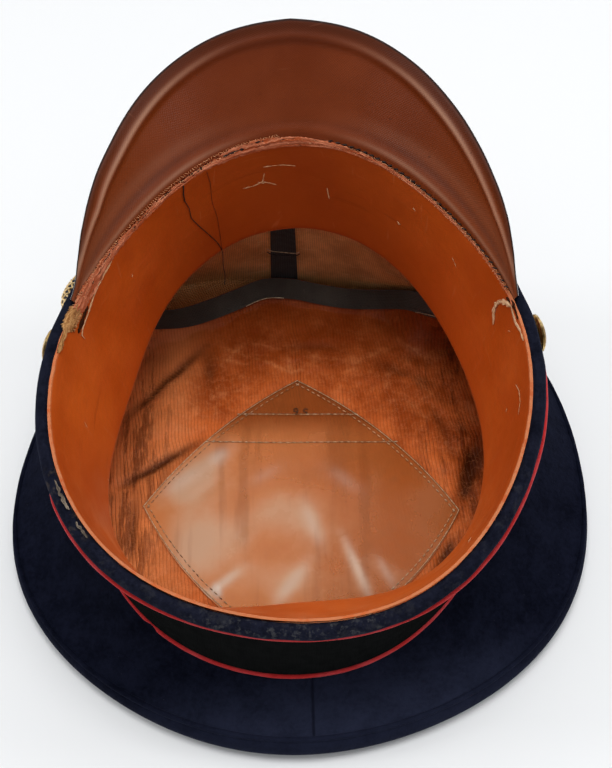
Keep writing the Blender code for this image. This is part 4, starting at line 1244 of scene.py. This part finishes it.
def sweatband_point(angle, share, inset):
    depth = SWEATBAND_WIDTH * share * (1 + FREE_EDGE_DROP * sin(angle) * share)
    lean = SWEATBAND_LEAN * (1 + waves(LEAN_WAVES, angle)) * max(share, 0) ** LEAN_POWER
    return face_point(angle, -BAND_WALL - GAP - lean - inset, depth)


def sweatband_skin(angle, share, lift=0.0):
    """A point on the sweatband's seen side with its waves, lift above it."""
    edge = exp(-share * 40) + exp(-(1 - share) * 60)
    thick = LEATHER * (1 - 0.35 * edge)
    point = sweatband_point(angle, share, thick)
    wave = noise(point * 30) * 0.0007 * sin(pi * share) + noise(point * 90) * 0.00012
    return sweatband_point(angle, share, thick - wave + lift)


def make_sweatband(material):
    face, back = [], []
    for angle in angles(360):
        front, rear = [], []
        torn = eased((32 - abs(angle_from(angle, 135))) / 8)
        place = spoke(angle)
        ragged = noise(place * 22) * (0.006 + 0.014 * torn) + abs(noise(place * 60)) * 0.012 * torn
        for step in range(57):
            share = step / 56
            shifted = share + ragged * max(0, 1 - share * 6)
            front.append(sweatband_skin(angle, shifted))
            thick = LEATHER * (1 - 0.35 * (exp(-share * 40) + exp(-(1 - share) * 60)))
            rear.append(sweatband_point(angle, shifted, min(0, thick - LEATHER * 0.8)))
        face.append(front)
        back.append(rear)
    piece = shell("sweatband_skin", face, back, True, [material])
    finished(piece, "brown_leather", "sweatband")


def skin_line(rows, lift, spacing=0.0008):
    """Points along the sweatband through places given in degrees and shares."""
    points = []
    for (a, s), (b, e) in zip(rows, rows[1:]):
        first, last = sweatband_skin(radians(a), s), sweatband_skin(radians(b), e)
        count = max(1, round((last - first).length / spacing))
        for i in range(count):
            share = i / count
            points.append(sweatband_skin(radians(a + (b - a) * share), s + (e - s) * share, lift))
    points.append(sweatband_skin(radians(rows[-1][0]), rows[-1][1], lift))
    return points


def sliver(name, points, width, material, rough=0.35, ends=0.2, lie=None):
    """A thin uneven ribbon along points, flat on the surface under it and pointed at its ends."""
    radii = []
    for i, point in enumerate(points):
        share = i / (len(points) - 1)
        taper = min(1, ends + 3.0 * sin(pi * share))
        radii.append(width / 2 * taper * (1 + rough * noise(point * 700)))
    facing = []
    for point in points:
        middle = Vector((-point.x, -point.y, 0.15 * hypot(point.x, point.y)))
        facing.append(lie or middle.normalized())
    return tube(name, points, width / 2, material, False, 6, radii, 0.4, facing)


def make_wear(pale, dark, thread, rubbed):
    """Cracks, the lap's torn edge and loose threads of the sweatband, with slivers of painted shade in its
    tear and beside the lap.
    """
    parts = [sliver("crack", skin_line(rows, 0.00006), 0.00046, pale, 0.9) for rows in PALE_CRACKS]
    parts.append(sliver("lap_edge", skin_line(LAP_EDGE[:7], 0.0002), 0.0017, pale, 0.9))
    parts.append(sliver("lap_rim", skin_line(LAP_EDGE[5:], 0.0001), 0.0012, pale, 0.9))
    parts.append(sliver("tear_edge", skin_line(LEFT_TEAR, 0.0002), 0.0008, pale, 0.9))
    # tear_gap: a dark sliver of painted shade in the tear.
    parts.append(sliver("tear_gap", skin_line(TEAR_GAP, 0.0001), 0.0022, dark, 0.5, 0.3))
    for first, last in ((205.6, 212.6), (215.4, 219.6)):
        line = []
        for angle in arc(first, last, 30):
            uneven = 0.0006 * noise(Vector((angle * 60, 0, 0)))
            line.append(face_point(angle, uneven - 0.0021, -0.0001))
        parts.append(sliver("strip_scuff", line, 0.0010, rubbed, 1.0, 0.15, UP))
    # Dark thread knots, and painted shade beside the lap's torn edge, as one dark sliver.
    knots_and_shade = [(15.2, 0.035), (13.0, -0.005), (10.6, 0.0), (8.5, 0.01)]
    parts.append(sliver("lap_gap", skin_line(knots_and_shade, 0.0002), 0.0016, dark, 0.8))
    start = sweatband_skin(radians(LOOSE_THREAD[-1][0]), 1.0, 0.0003)
    hanging = [start + Vector(step) * 0.001 for step in THREAD_FALL]
    fall = smooth_line(skin_line(LOOSE_THREAD, 0.0003) + hanging, 90)
    parts.append(tube("loose_thread", fall, 0.00017, thread))
    stub = skin_line(LOOSE_THREAD[:3], 0.0004)
    parts.append(tube("thread_stub", stub, 0.00024, thread))
    fine = smooth_line(skin_line(FINE_THREAD, 0.0002), 60)
    parts.append(tube("fine_thread", fine, 0.00008, thread, sides=5))
    finished(joined("sweatband_wear", parts), "brown_leather")


def strip_line(angle, across):
    """A point of the torn strip between sweatband and visor: across runs from leather to visor."""
    root, direction, face, reach = visor_frame(angle)[:4]
    low = sweatband_skin(angle, between(TORN_STRIP, degrees(angle), 3), 0.0003)
    high = root + direction * min(0.0016, reach * 0.5) + face * (0.0005 + VISOR_RELIEF * 0.3)
    top = sweatband_skin(angle, 0.0, 0.0001) * 0.5 + root * 0.5 + face * 0.0007
    rest = 1 - across
    return low * rest * rest + top * 2 * rest * across + high * across * across


def make_torn_strip(torn, fibre, dark):
    """The leather strip torn along the visor's root, its fibres, and the stitches on its right."""
    half = VISOR_SECTIONS[-1][0] + 1.5
    face, back = [], []
    for angle in arc(VISOR_MIDDLE - half, VISOR_MIDDLE + half, 420):
        place, turn = spoke(angle), degrees(angle)
        ragged = 0.5 + 0.5 * eased((turn - 90) / 20)
        low = 0.10 * noise(place * 30) + 0.09 * noise(place * 110)
        high = 0.13 * noise(place * 26 + UP) + 0.17 * noise(place * 95 + UP)
        low = between(TORN_STRIP, turn, 1) + ragged * low
        high = between(TORN_STRIP, turn, 2) + ragged * high
        front, rear = [], []
        for k, across in enumerate(evenly(low, high, 12)):
            point, off = strip_line(angle, across), inward(angle, 0.9)
            fray = noise(Vector((angle * 9, across * 7, 0))) * 0.0006
            fray += noise(Vector((angle * 60, across * 12, 5))) * 0.0004
            ridge = 0.00025 * sin(pi * k / 12)
            front.append(point + off * (fray + ridge + 0.0001))
            rear.append(point - off * 0.0004)
        face.append(front)
        back.append(rear)
    parts = [shell("torn_strip", face, back, False, [torn], 80.0)]
    rows = ((0.25, 1.3, 3, 16, 90), (0.5, 0.3, 5, 16, 165), (0.85, -1.2, 7, 92, 165))
    for across, lean, seed, start, end in rows:
        line = [strip_line(angle, across) + UP * 0.0004 for angle in arc(start, end, 200)]
        parts.append(stitched("fray", line, 0.0011, 0.0019, 0.00020, fibre, 1.1, lean, seed))
    # Each slit is a dark sliver: painted shade inside the cut.
    for first, last, across, width in STRIP_SLITS:
        line = []
        for angle in arc(first, last, 30):
            bent = across + 0.05 * noise(Vector((angle * 40, 0, 3)))
            line.append(strip_line(angle, bent) + UP * 0.0007)
        parts.append(sliver("slit", line, width * 0.001, dark, 0.9))
    line = [strip_line(angle, 0.66) + UP * 0.0003 for angle in arc(17, 79, 160)]
    parts.append(stitched("whip", line, 0.0029, 0.0021, 0.0006, dark, 0.2, 0.5))
    finished(joined("visor_seam", parts), "brown_leather")


def make_rim_tear(tan, fibre):
    """Frayed tan cloth where the strip is torn off the rim at the visor's left end."""
    face, back = [], []
    for step, angle in enumerate(arc(163.8, 177, 80)):
        share = step / 80
        narrow = (1 - 0.82 * eased((share - 0.42) / 0.16)) * (1 - 0.8 * eased(share * 8 - 7))
        wide = eased(share * 10 + 0.15) * narrow
        torn = noise(Vector((angle * 90, 1, 0))) + 0.5 * noise(Vector((angle * 260, 2, 0)))
        low = 0.085 * wide * (1 + 0.55 * torn)
        inner = -BAND_WALL - GAP - LEATHER * 0.8
        top = inner + wide * (0.0020 + 0.0014 * torn)
        front, rear = [], []
        for k in range(17):
            share = k / 16
            if share < 0.4:
                point = face_point(angle, top + (inner - top) * share / 0.4, -0.0004)
            else:
                point = sweatband_skin(angle, low * (share - 0.4) / 0.6, 0.0003)
            lump = 0.0003 + 0.0005 * noise(point * 300) + 0.0004 * noise(point * 800)
            front.append(point + inward(angle, 0.8) * lump)
            rear.append(point - inward(angle, 0.8) * 0.0005)
        face.append(front)
        back.append(rear)
    parts = [shell("rim_tear", face, back, False, [tan], 80.0)]
    line = [sweatband_skin(angle, 0.06, 0.0004) for angle in arc(164.5, 169.5, 40)]
    parts.append(stitched("rim_fray", line, 0.0009, 0.0024, 0.00020, fibre, 1.4, 0.9, 11))
    finished(joined("rim_tear", parts), "brown_leather")


def make_lining(material):
    face = points_of(smooth_line(lining_line(angle), 101, 3) for angle in angles(320))
    normal = grid_normals(face)
    normal *= np.sign(normal[:, 20, 2].mean())
    x, y = face[:, :, 0] * 1000, face[:, :, 1] * 1000
    folds = near_lines(x, y, LINING_CREASES)
    rubs = near_lines(x, y, LINING_RUBS)
    a, b = shield_square(x / 1000, y / 1000)
    clear = np.clip((np.maximum(np.abs(a), np.abs(b)) - 0.99) / 0.14, 0, 1)
    rough = np.zeros(face.shape[:2])
    for i in range(face.shape[0]):
        for j in range(face.shape[1]):
            point = Vector(face[i][j])
            crumple = abs(noise(point * 85)) * 0.0014 + abs(noise(point * 210)) * 0.0006
            rough[i][j] = noise(point * 40) * 0.0007 + crumple
    free = np.clip((1 - np.arange(face.shape[1]) / (face.shape[1] - 1)) * 12, 0, 1)[None, :]
    lift = (folds * 0.001 + rough) * clear * free
    lift = np.maximum(lift, -0.0011)
    # The first mark is painted shade in the fold valleys, the second the pale rubbed cracks.
    marks = np.stack([np.clip(-folds * 0.8, 0, 1), np.clip(rubs, 0, 1)], axis=2)
    front = face + normal * (LINING + lift[:, :, None])
    back = face + normal * np.minimum(0, lift[:, :, None] * 0.9)
    piece = shell("lining_cloth", front, back, True, [material], 60.0, 0, marks)
    finished(piece, "oilcloth_lining", "lining")
    return face, normal


def make_lining_tape(material, face, normal, thread, cream):
    """Black tape over the lining's free edge, following its upper 9 mm, with its stitches."""
    count = face.shape[0]
    rows = [i for i in range(count) if TAPE_START < 360 * i / count < TAPE_END]
    near, far = [], []
    for i in rows:
        line, facing = face[i], normal[i]
        line, facing = line[::-1], facing[::-1]
        lengths = lengths_along(line[:, None], 0)[:, 0]
        places = np.linspace(TAPE_WIDTH, 0, 15)
        point = np.stack([np.interp(places, lengths, line[:, k]) for k in range(3)], axis=1)
        side = np.stack([np.interp(places, lengths, facing[:, k]) for k in range(3)], axis=1)
        wave = np.array([noise(Vector(p) * 70) * 0.0003 for p in point])
        near.append(point + side * (LINING + LOOSE))
        far.append(point + side * (LINING + LOOSE + TAPE_THICK + wave[:, None]))
    parts = [shell("lining_tape_cloth", far, near, False, [material])]
    line = [Vector(row[2]) + UP * 0.0002 for row in far]
    parts.append(stitched("tape_stitches", line, 0.0036, 0.0024, 0.00035, thread, 0.08))
    for start, end, lift in TAPE_THREADS:
        line = [Vector(row[0]) for i, row in zip(rows, far) if start < 360 * i / count < end]
        rise = [lift * sin(pi * k / (len(line) - 1)) + 0.0001 for k in range(len(line))]
        lifted = [point + UP * high for point, high in zip(line, rise)]
        parts.append(tube("cream_thread", smooth_line(lifted, 30), 0.00018, cream))
    finished(joined("lining_tape_cloth", parts), "black_tape", "lining_tape")


def make_front_canvas(material):
    face, back = [], []
    for angle in arc(90 - CANVAS_HALF, 90 + CANVAS_HALF, 90):
        section = CrownSection(angle)
        first = (1 - corner_share(angle)) / 2
        foot = lining_line(angle)[len(FLAT_SHARES) + 3]
        room = max(0, (section.middle - foot).dot(section.out) - 0.002)
        room *= eased(corner_share(angle) * 4 - 3)
        for rows, near in ((back, CLOTH + GAP), (face, CLOTH + GAP + CANVAS)):
            start = section.roll_point(section.roll_at(first), near)
            row = [start - section.out * (room * (1 - k / 6)) for k in range(6)]
            for step in range(9):
                roll = section.roll_at(first + (1 - first) * step / 8)
                row.append(section.roll_point(roll, near))
            for step in range(1, 25):
                row.append(section.side_point(step / 24, near))
            rows.append(row)
    piece = shell("front_canvas_cloth", face, back, False, [material])
    finished(piece, "brown_canvas", "front_canvas")


def make_front_stay(material, pale):
    face, back = [], []
    middle = pi / 2 - STAY_OFFSET / BAND_HALF_Y
    half = STAY_WIDTH / 2 / BAND_HALF_Y
    near = CLOTH + GAP + CANVAS + LOOSE
    for i in range(13):
        angle = middle + half * (i / 6 - 1)
        section = CrownSection(angle)
        low = lining_edge(angle)[0] - STAY_BEHIND_TAPE / section.width
        high = 1 - STAY_CLEAR / section.width
        crown = STAY_THICK * (1 - 0.3 * (i / 6 - 1) ** 2)
        face.append([section.side_point(low + (high - low) * j / 24, near + crown) for j in range(25)])
        back.append([section.side_point(low + (high - low) * j / 24, near) for j in range(25)])
    parts = [shell("front_stay_strip", face, back, False, [material])]
    for share, lean, radius in ((0.51, 0.02, 0.00016), (0.47, 0.01, 0.00022)):
        pin = []
        for i in range(21):
            across = i / 10 - 1
            section = CrownSection(middle + half * across * 1.28)
            out = STAY_THICK * (1.15 - 0.9 * abs(across) ** 6)
            pin.append(section.side_point(share + lean * across, near + out + radius))
        parts.append(tube("stay_thread", pin, radius, pale if radius < 0.0002 else material))
    finished(joined("front_stay_strip", parts), "black_stay", "front_stay")


def shield_point(right, forward, height=0.0):
    """A point on the sweat shield: right and forward are shares of its half width and half length."""
    turn = radians(SHIELD_TURN)
    x, y = right * SHIELD_WIDTH / 2, forward * SHIELD_LENGTH / 2
    low = CLOTH + GAP + LINING + GAP
    return Vector(
        (
            x * cos(turn) - y * sin(turn),
            x * sin(turn) + y * cos(turn) - SHIELD_BACK,
            low + height,
        )
    )


def shield_square(x, y):
    """The place in metres as a place in the shield's square, whose edges lie at -1 and 1."""
    turn = radians(SHIELD_TURN)
    along_y = y + SHIELD_BACK
    right = (x * cos(turn) + along_y * sin(turn)) / (SHIELD_WIDTH / 2)
    forward = (along_y * cos(turn) - x * sin(turn)) / (SHIELD_LENGTH / 2)
    wide, deep = right + forward, forward - right
    a, b = wide, deep
    for _ in range(12):
        a = wide / (1 + np.where(wide > 0, SHIELD_BOWS[0], SHIELD_BOWS[2]) * (1 - np.minimum(b * b, 1)))
        b = deep / (1 + np.where(deep > 0, SHIELD_BOWS[1], SHIELD_BOWS[3]) * (1 - np.minimum(a * a, 1)))
    return a, b


def shield_skin(a, b):
    """The shield's upper face at a place in its square, how cloudy it is there with painted sheen, and how
    creased.
    """
    wide = a * (1 + SHIELD_BOWS[0 if a > 0 else 2] * (1 - b * b))
    deep = b * (1 + SHIELD_BOWS[1 if b > 0 else 3] * (1 - a * a))
    forward = (wide + deep) / 2
    right = (wide - deep) / 2 - 0.04 * max(forward, 0) ** 2 + 0.03 * max((wide - deep) / 2, 0) ** 2
    point = shield_point(right, forward)
    bow = (1 - min(abs(a), 1) ** 4) * (1 - min(abs(b), 1) ** 4)
    x, y = np.array(point.x * 1000), np.array(point.y * 1000)
    crease = float(near_lines(x, y, SHIELD_CREASES))
    milk_and_sheen = float(near_lines(x, y, SHIELD_MILK_AND_SHEEN))
    lift = (0.0012 + 0.0007 * noise(point * 28)) * bow + crease * 0.0009 * min(1, bow * 2)
    return shield_point(right, forward, SHIELD_THICK + max(lift, 0)), milk_and_sheen, crease


def make_sweat_shield(material, thread, seam, ink):
    count = 100
    face, back, marks = [], [], []
    for i in range(count + 1):
        front, rear, marked = [], [], []
        for j in range(count + 1):
            a, b = 2 * i / count - 1, 2 * j / count - 1
            point, milk_and_sheen, crease = shield_skin(a, b)
            front.append(point)
            rear.append(point - UP * SHIELD_THICK)
            marked.append((min(max(milk_and_sheen, 0), 1), min(max(crease, 0), 1)))
        face.append(front)
        back.append(rear)
        marks.append(marked)
    parts = [shell("sweat_shield_sheet", face, back, False, [material], 50.0, 0, marks)]

    def on_sheet(first, last):
        steps = zip(*(evenly(float(a), float(b), 60) for a, b in zip(first, last)))
        return [shield_skin(*step)[0] + UP * 0.00025 for step in steps]

    inset = 0.945
    corners = [(inset, inset), (-inset, inset), (-inset, -inset), (inset, -inset)]
    sides = list(zip(corners, corners[1:] + corners[:1]))
    for (first, last), finish in zip(sides, (thread, thread, seam, seam)):
        line = on_sheet(first, last)
        parts.append(stitched("edge_stitches", line, 0.0027, 0.0019, 0.00042, finish, 0.10))
        outer = [tuple(v * 1.045 for v in place) for place in (first, last)]
        parts.append(tube("edge_fold", on_sheet(*outer), 0.00016, seam, sides=5))
    for x0, y0, x1, y1 in SHIELD_SEAMS:
        line = on_sheet(shield_square(x0, y0), shield_square(x1, y1))
        parts.append(tube("seam", line, 0.00016, thread))
        parts.append(stitched("seam_stitches", line, 0.0028, 0.0017, 0.00050, seam, 0.06))
    parts.append(size_stamp(ink))
    finished(joined("sweat_shield_sheet", parts), "celluloid", "sweat_shield")


def size_stamp(ink):
    """The head size in plain numbers, as on many such caps."""
    text = bpy.data.curves.new("stamp", "FONT")
    text.body = "5 6"
    text.size = 0.0052
    text.extrude = 0.00004
    text.align_x = "CENTER"
    stamp = made_plain(linked("stamp", text), "stamp")
    mesh = stamp.data
    spot = shield_skin(*(float(v) for v in shield_square(0.0036, 0.0360)))[0]
    mesh.transform(Matrix.Translation(spot + UP * 0.0002) @ Matrix.Rotation(radians(176), 4, "Z"))
    mesh.materials.clear()
    mesh.materials.append(ink)
    mesh.uv_layers.new(name="metres")
    return stamp


def visor_frame(angle):
    """Root, direction along the visor and out of its underside, reach, fold's place, and how it fades out."""
    off = angle_from(angle, VISOR_MIDDLE)
    reach_share = between(VISOR_SECTIONS, abs(off), 1 if off < 0 else 2)
    fold = between(VISOR_SECTIONS, abs(off), 3)
    level = cos(angle) ** 2
    slope = radians(VISOR_SLOPE + (VISOR_END_SLOPE - VISOR_SLOPE) * level)
    out = outward(angle, 0)
    along_visor = out * cos(slope) + OPENING_NORMAL * sin(slope)
    face = OPENING_NORMAL * cos(slope) - out * sin(slope)
    lift = GAP + cos(slope) * VISOR_THICK / 2
    root = face_point(angle, -BAND_WALL * VISOR_ROOT, -lift) + face * VISOR_THICK / 2
    return root, along_visor, face, VISOR_LENGTH * reach_share, fold, min(1, 2 * reach_share)


def visor_relief(place, reach, fold):
    """Height of the underside at a length from the root, as a share of VISOR_RELIEF."""
    crease = reach * fold
    ridge = max(reach - RIDGE_INSET, (reach + crease) / 2)
    width = max(reach * 0.16, 0.0015)
    roll = 1.1 * exp(-(((place - crease * 0.45) / max(crease * 0.45, 0.0005)) ** 2))
    dip = -0.45 * exp(-(((place - crease * 1.1) / (width * 0.55)) ** 2))
    field = -0.60 * eased((place - crease) / width) * (1 - eased((place - ridge + 0.0020) / 0.0045))
    bead = 0.95 * exp(-(((place - ridge - 0.0015) / 0.0019) ** 2))
    return roll + dip + field + bead


def visor_marks(place, reach, fold):
    """Painted highlights on the underside at a length from the root, on its ridge and its roll, and painted
    shade in its root fold.
    """
    crease = reach * fold
    ridge = max(reach - RIDGE_INSET, (reach + crease) / 2)
    wear_and_highlight = exp(-(((place - ridge - 0.0024) / 0.0010) ** 2))
    wear_and_highlight += 0.75 * exp(-(((place - crease * 0.45) / 0.0010) ** 2))
    wear_and_highlight += 0.18 * exp(-(((place - crease * 1.45) / 0.0028) ** 2))
    return wear_and_highlight, exp(-(((place - crease * 0.95) / 0.0016) ** 2))


def make_visor(brown, black):
    start = radians(VISOR_MIDDLE - VISOR_SECTIONS[-1][0])
    end = radians(VISOR_MIDDLE + VISOR_SECTIONS[-1][0])
    under, outer, marks = [], [], []
    for step in range(VISOR_STEPS + 1):
        angle = start + (end - start) * step / VISOR_STEPS
        root, direction, face, reach, fold, fade = visor_frame(angle)
        row, back, marked = [], [], []
        off = abs(degrees(angle) - VISOR_MIDDLE)
        side = eased((off - 4) / 30) * (1 - eased((off - 66) / 12))
        for j in range(73):
            share = j / 72
            place = reach * share
            relief = VISOR_RELIEF * fade * visor_relief(place, reach, fold)
            edge = 1 - share
            rim = -VISOR_THICK * 0.5 * exp(-edge * reach / 0.0007)
            row.append(root + direction * place + face * (relief + rim))
            outside = -VISOR_THICK + VISOR_THICK * 0.4 * exp(-edge * reach / 0.0007)
            back.append(root + direction * place + face * (relief * 0.5 + outside))
            lit, shade = visor_marks(place, reach, fold)
            marked.append((min(1, side * lit), min(1, shade * (0.4 + 0.6 * side))))
        under.append(row)
        outer.append(back)
        marks.append(marked)
    piece = shell("visor_skin", under, outer, False, [brown, black], 60.0, 1, marks)
    finished(piece, "visor_lacquer", "visor")


def from_button(angle):
    start, end = radians(BUTTON_RIGHT_AT), radians(BUTTON_LEFT_AT)
    return max(min(angle - start, end - angle), 0) * BAND_HALF_X


def cord_offset(angle):
    return CORD_LOOP + (STRAND - CORD_LOOP) * eased(from_button(angle) / CORD_SPREAD)


def cord_out(angle):
    free = eased((from_button(angle) - BUTTON_WIDTH / 2) / CORD_SPREAD)
    return TRIM_FACE + GAP + CORD / 2 + CORD_SLACK * free * bump(angle, SLACKS)


def cord_route():
    start, end = radians(BUTTON_RIGHT_AT), radians(BUTTON_LEFT_AT)
    count, turn_steps = 150, 14
    steps = [start + (end - start) * i / count for i in range(1, count)]
    turns = [pi * (i / turn_steps - 0.5) for i in range(turn_steps + 1)]
    route = [(a, CORD_LINE - cord_offset(a)) for a in steps]
    for turn in turns:
        route.append((end + CORD_LOOP * cos(turn) / BAND_HALF_X, CORD_LINE + CORD_LOOP * sin(turn)))
    route.extend((a, CORD_LINE + cord_offset(a)) for a in reversed(steps))
    for turn in turns:
        route.append((start - CORD_LOOP * cos(turn) / BAND_HALF_X, CORD_LINE - CORD_LOOP * sin(turn)))
    return [face_point(angle, cord_out(angle), depth) for angle, depth in route]


def make_chin_cord(core, gold):
    points = cord_route()
    length = sum((b - a).length for a, b in zip(points, points[1:] + points[:1]))
    turns = round(length / 0.0105)
    inner = tube("chin_cord_core", points, CORD / 2 * 0.80, core, True, 10)
    sizes = dict(Radius=CORD / 2 - 0.00056, Wire=0.00046, Pitch=length / turns, Weave=0.00016)
    counts = dict(Wires=8, Steps=turns * 14)
    wires = along("chin_cord_wires", BRAID, points, True, **sizes, **counts, Finish=gold)
    finished(joined("chin_cord_braid", [inner, wires]), "gold_braid", "chin_cord")


def make_button(name, place, finish):
    """A domed button on its shank, from rows of half width and height."""
    angle = radians(place)
    head = GAP + CORD + GAP
    base = face_point(angle, TRIM_FACE + GAP, CORD_LINE)
    axis, across = outward(angle, CORD_LINE), along_ring(angle, CORD_LINE)
    upward = axis.cross(across)
    radius = BUTTON_WIDTH / 2
    rows = [(SHANK / 2, 0), (SHANK / 2, head)]
    for wide, high in ((0.94, 0), (1, 0.0004), (1, 0.0011), (0.93, 0.0015), (0.88, 0.0012)):
        rows.append((radius * wide, head + high))
    for step in range(1, 8):
        turn = step / 8 * pi / 2
        rows.append((radius * 0.86 * cos(turn), head + 0.0012 + 0.0018 * sin(turn)))
    sides, count = 40, len(rows)
    verts = [base, base + axis * (head + BUTTON_HEIGHT)]
    for turn in angles(sides):
        away = across * cos(turn) + upward * sin(turn)
        verts.extend(base + axis * height + away * wide for wide, height in rows)
    faces = []
    for i in range(sides):
        here, after = 2 + i * count, 2 + (i + 1) % sides * count
        faces += [(0, here, after), (1, here + count - 1, after + count - 1)]
        faces += [(here + j, after + j, after + j + 1, here + j + 1) for j in range(count - 1)]
    piece = merged(mesh_object(name + "_brass", verts, faces, [finish], sharp=40.0))
    finished(piece, "brass_button", name)


def make_floor(material):
    half, below = 4.0, -0.0002
    verts = [(x * half, y * half, below) for x, y in ((-1, -1), (1, -1), (1, 1), (-1, 1))]
    mesh_object("floor", verts, [(0, 1, 2, 3)], [material])


def make_camera():
    data = bpy.data.cameras.new("camera")
    data.sensor_width = SENSOR
    data.lens = LENS
    camera = linked("camera", data)
    dip, roll = radians(CAMERA_DIP), radians(CAMERA_ROLL)
    forward = Vector((0, cos(dip), -sin(dip)))
    right = Vector((1, 0, 0))
    up = right.cross(forward)
    turned = right * cos(roll) + up * sin(roll)
    risen = up * cos(roll) - right * sin(roll)
    matrix = Matrix.Identity(4)
    for column, axis in enumerate((turned, risen, -forward, Vector(CAMERA_PLACE))):
        for row in range(3):
            matrix[row][column] = axis[row]
    camera.matrix_world = matrix
    bpy.context.scene.camera = camera


def make_lights():
    """A white room whose side behind the camera is dark in reflections, with soft lamps."""
    scene = bpy.context.scene
    scene.view_settings.view_transform = "Standard"
    world = bpy.data.worlds.new("studio")
    scene.world = world
    world.use_nodes = True
    tree = world.node_tree
    way = Node(tree, "ShaderNodeTexCoord")["Generated"]
    toward = Node(tree, "ShaderNodeVectorMath", {0: way, 1: DARK_SIDE}, operation="DOT_PRODUCT")["Value"]
    glossy = Node(tree, "ShaderNodeLightPath")["Is Glossy Ray"]
    bright = Node(tree, "ShaderNodeMix", {0: glossy, 2: ROOM, 3: toward.ramp(0.88, 0.15, 0.02, 0.9)})[0]
    tree.links.new(bright.socket, tree.nodes["Background"].inputs[1])
    tree.nodes["Background"].inputs[0].default_value = (0.97, 0.985, 1.0, 1)
    for name, place, size, power, reflected in LAMPS:
        data = bpy.data.lights.new(name, "AREA")
        data.size = size
        data.energy = power
        lamp = linked(name, data)
        lamp.visible_glossy = reflected
        lamp.location = place
        lamp.rotation_euler = (Vector((0, 0, 0.05)) - Vector(place)).to_track_quat("-Z", "Y").to_euler()


def main():
    make_camera()
    make_lights()
    make_floor(floor_finish())
    blue = ((0.0014, 0.0019, 0.0054), (0.0062, 0.0076, 0.0172))
    # The rim colours are painted light on the lit back of the crown.
    navy = wool("navy_wool_cloth", *blue, rim=(0.012, 0.0145, 0.030))
    side = wool("navy_side_cloth", *blue, seam=0.0035, rim=(0.020, 0.024, 0.047))
    strip = wool("navy_strip_cloth", (0.0030, 0.0035, 0.0076), (0.0108, 0.0122, 0.0235), 0.0005, STRIP_WEAR)
    black = tape_cloth("black_stay_cloth", (0.002, 0.002, 0.002), (0.006, 0.0055, 0.005), 0.0010)
    tape = tape_cloth("black_tape_cloth", (0.021, 0.0185, 0.0150), (0.078, 0.070, 0.057))
    piping, metal = piping_cloth(), brass()
    fibre, cream = THREADS["fibre"], THREADS["cream"]
    make_crown_top(navy)
    make_crown_side(side)
    make_crown_welt(navy)
    make_band_core(strip)
    make_band_trim(trim_cloth())
    make_piping("piping_lower_cord", "piping_lower", EDGE_STRIP, piping, piping_out)
    make_piping("piping_upper_cord", "piping_upper", BAND_HEIGHT, piping, None, PIPING_WORN_AT)
    make_sweatband(band_leather())
    make_wear(TORN["pale"], TORN["gap"], THREADS["dark"], TORN["scuff"])
    make_torn_strip(TORN["strip"], fibre, THREADS["dark"])
    make_rim_tear(TORN["cloth"], fibre)
    face, normal = make_lining(oilcloth())
    make_lining_tape(tape, face, normal, THREADS["tape"], cream)
    make_front_canvas(canvas_cloth())
    make_front_stay(black, cream)
    make_sweat_shield(celluloid(), THREADS["brown"], cream, THREADS["ink"])
    make_visor(visor_brown(), lacquer_black())
    make_chin_cord(THREADS["core"], THREADS["gold"])
    make_button("button_right", BUTTON_RIGHT_AT, metal)
    make_button("button_left", BUTTON_LEFT_AT, metal)


main()
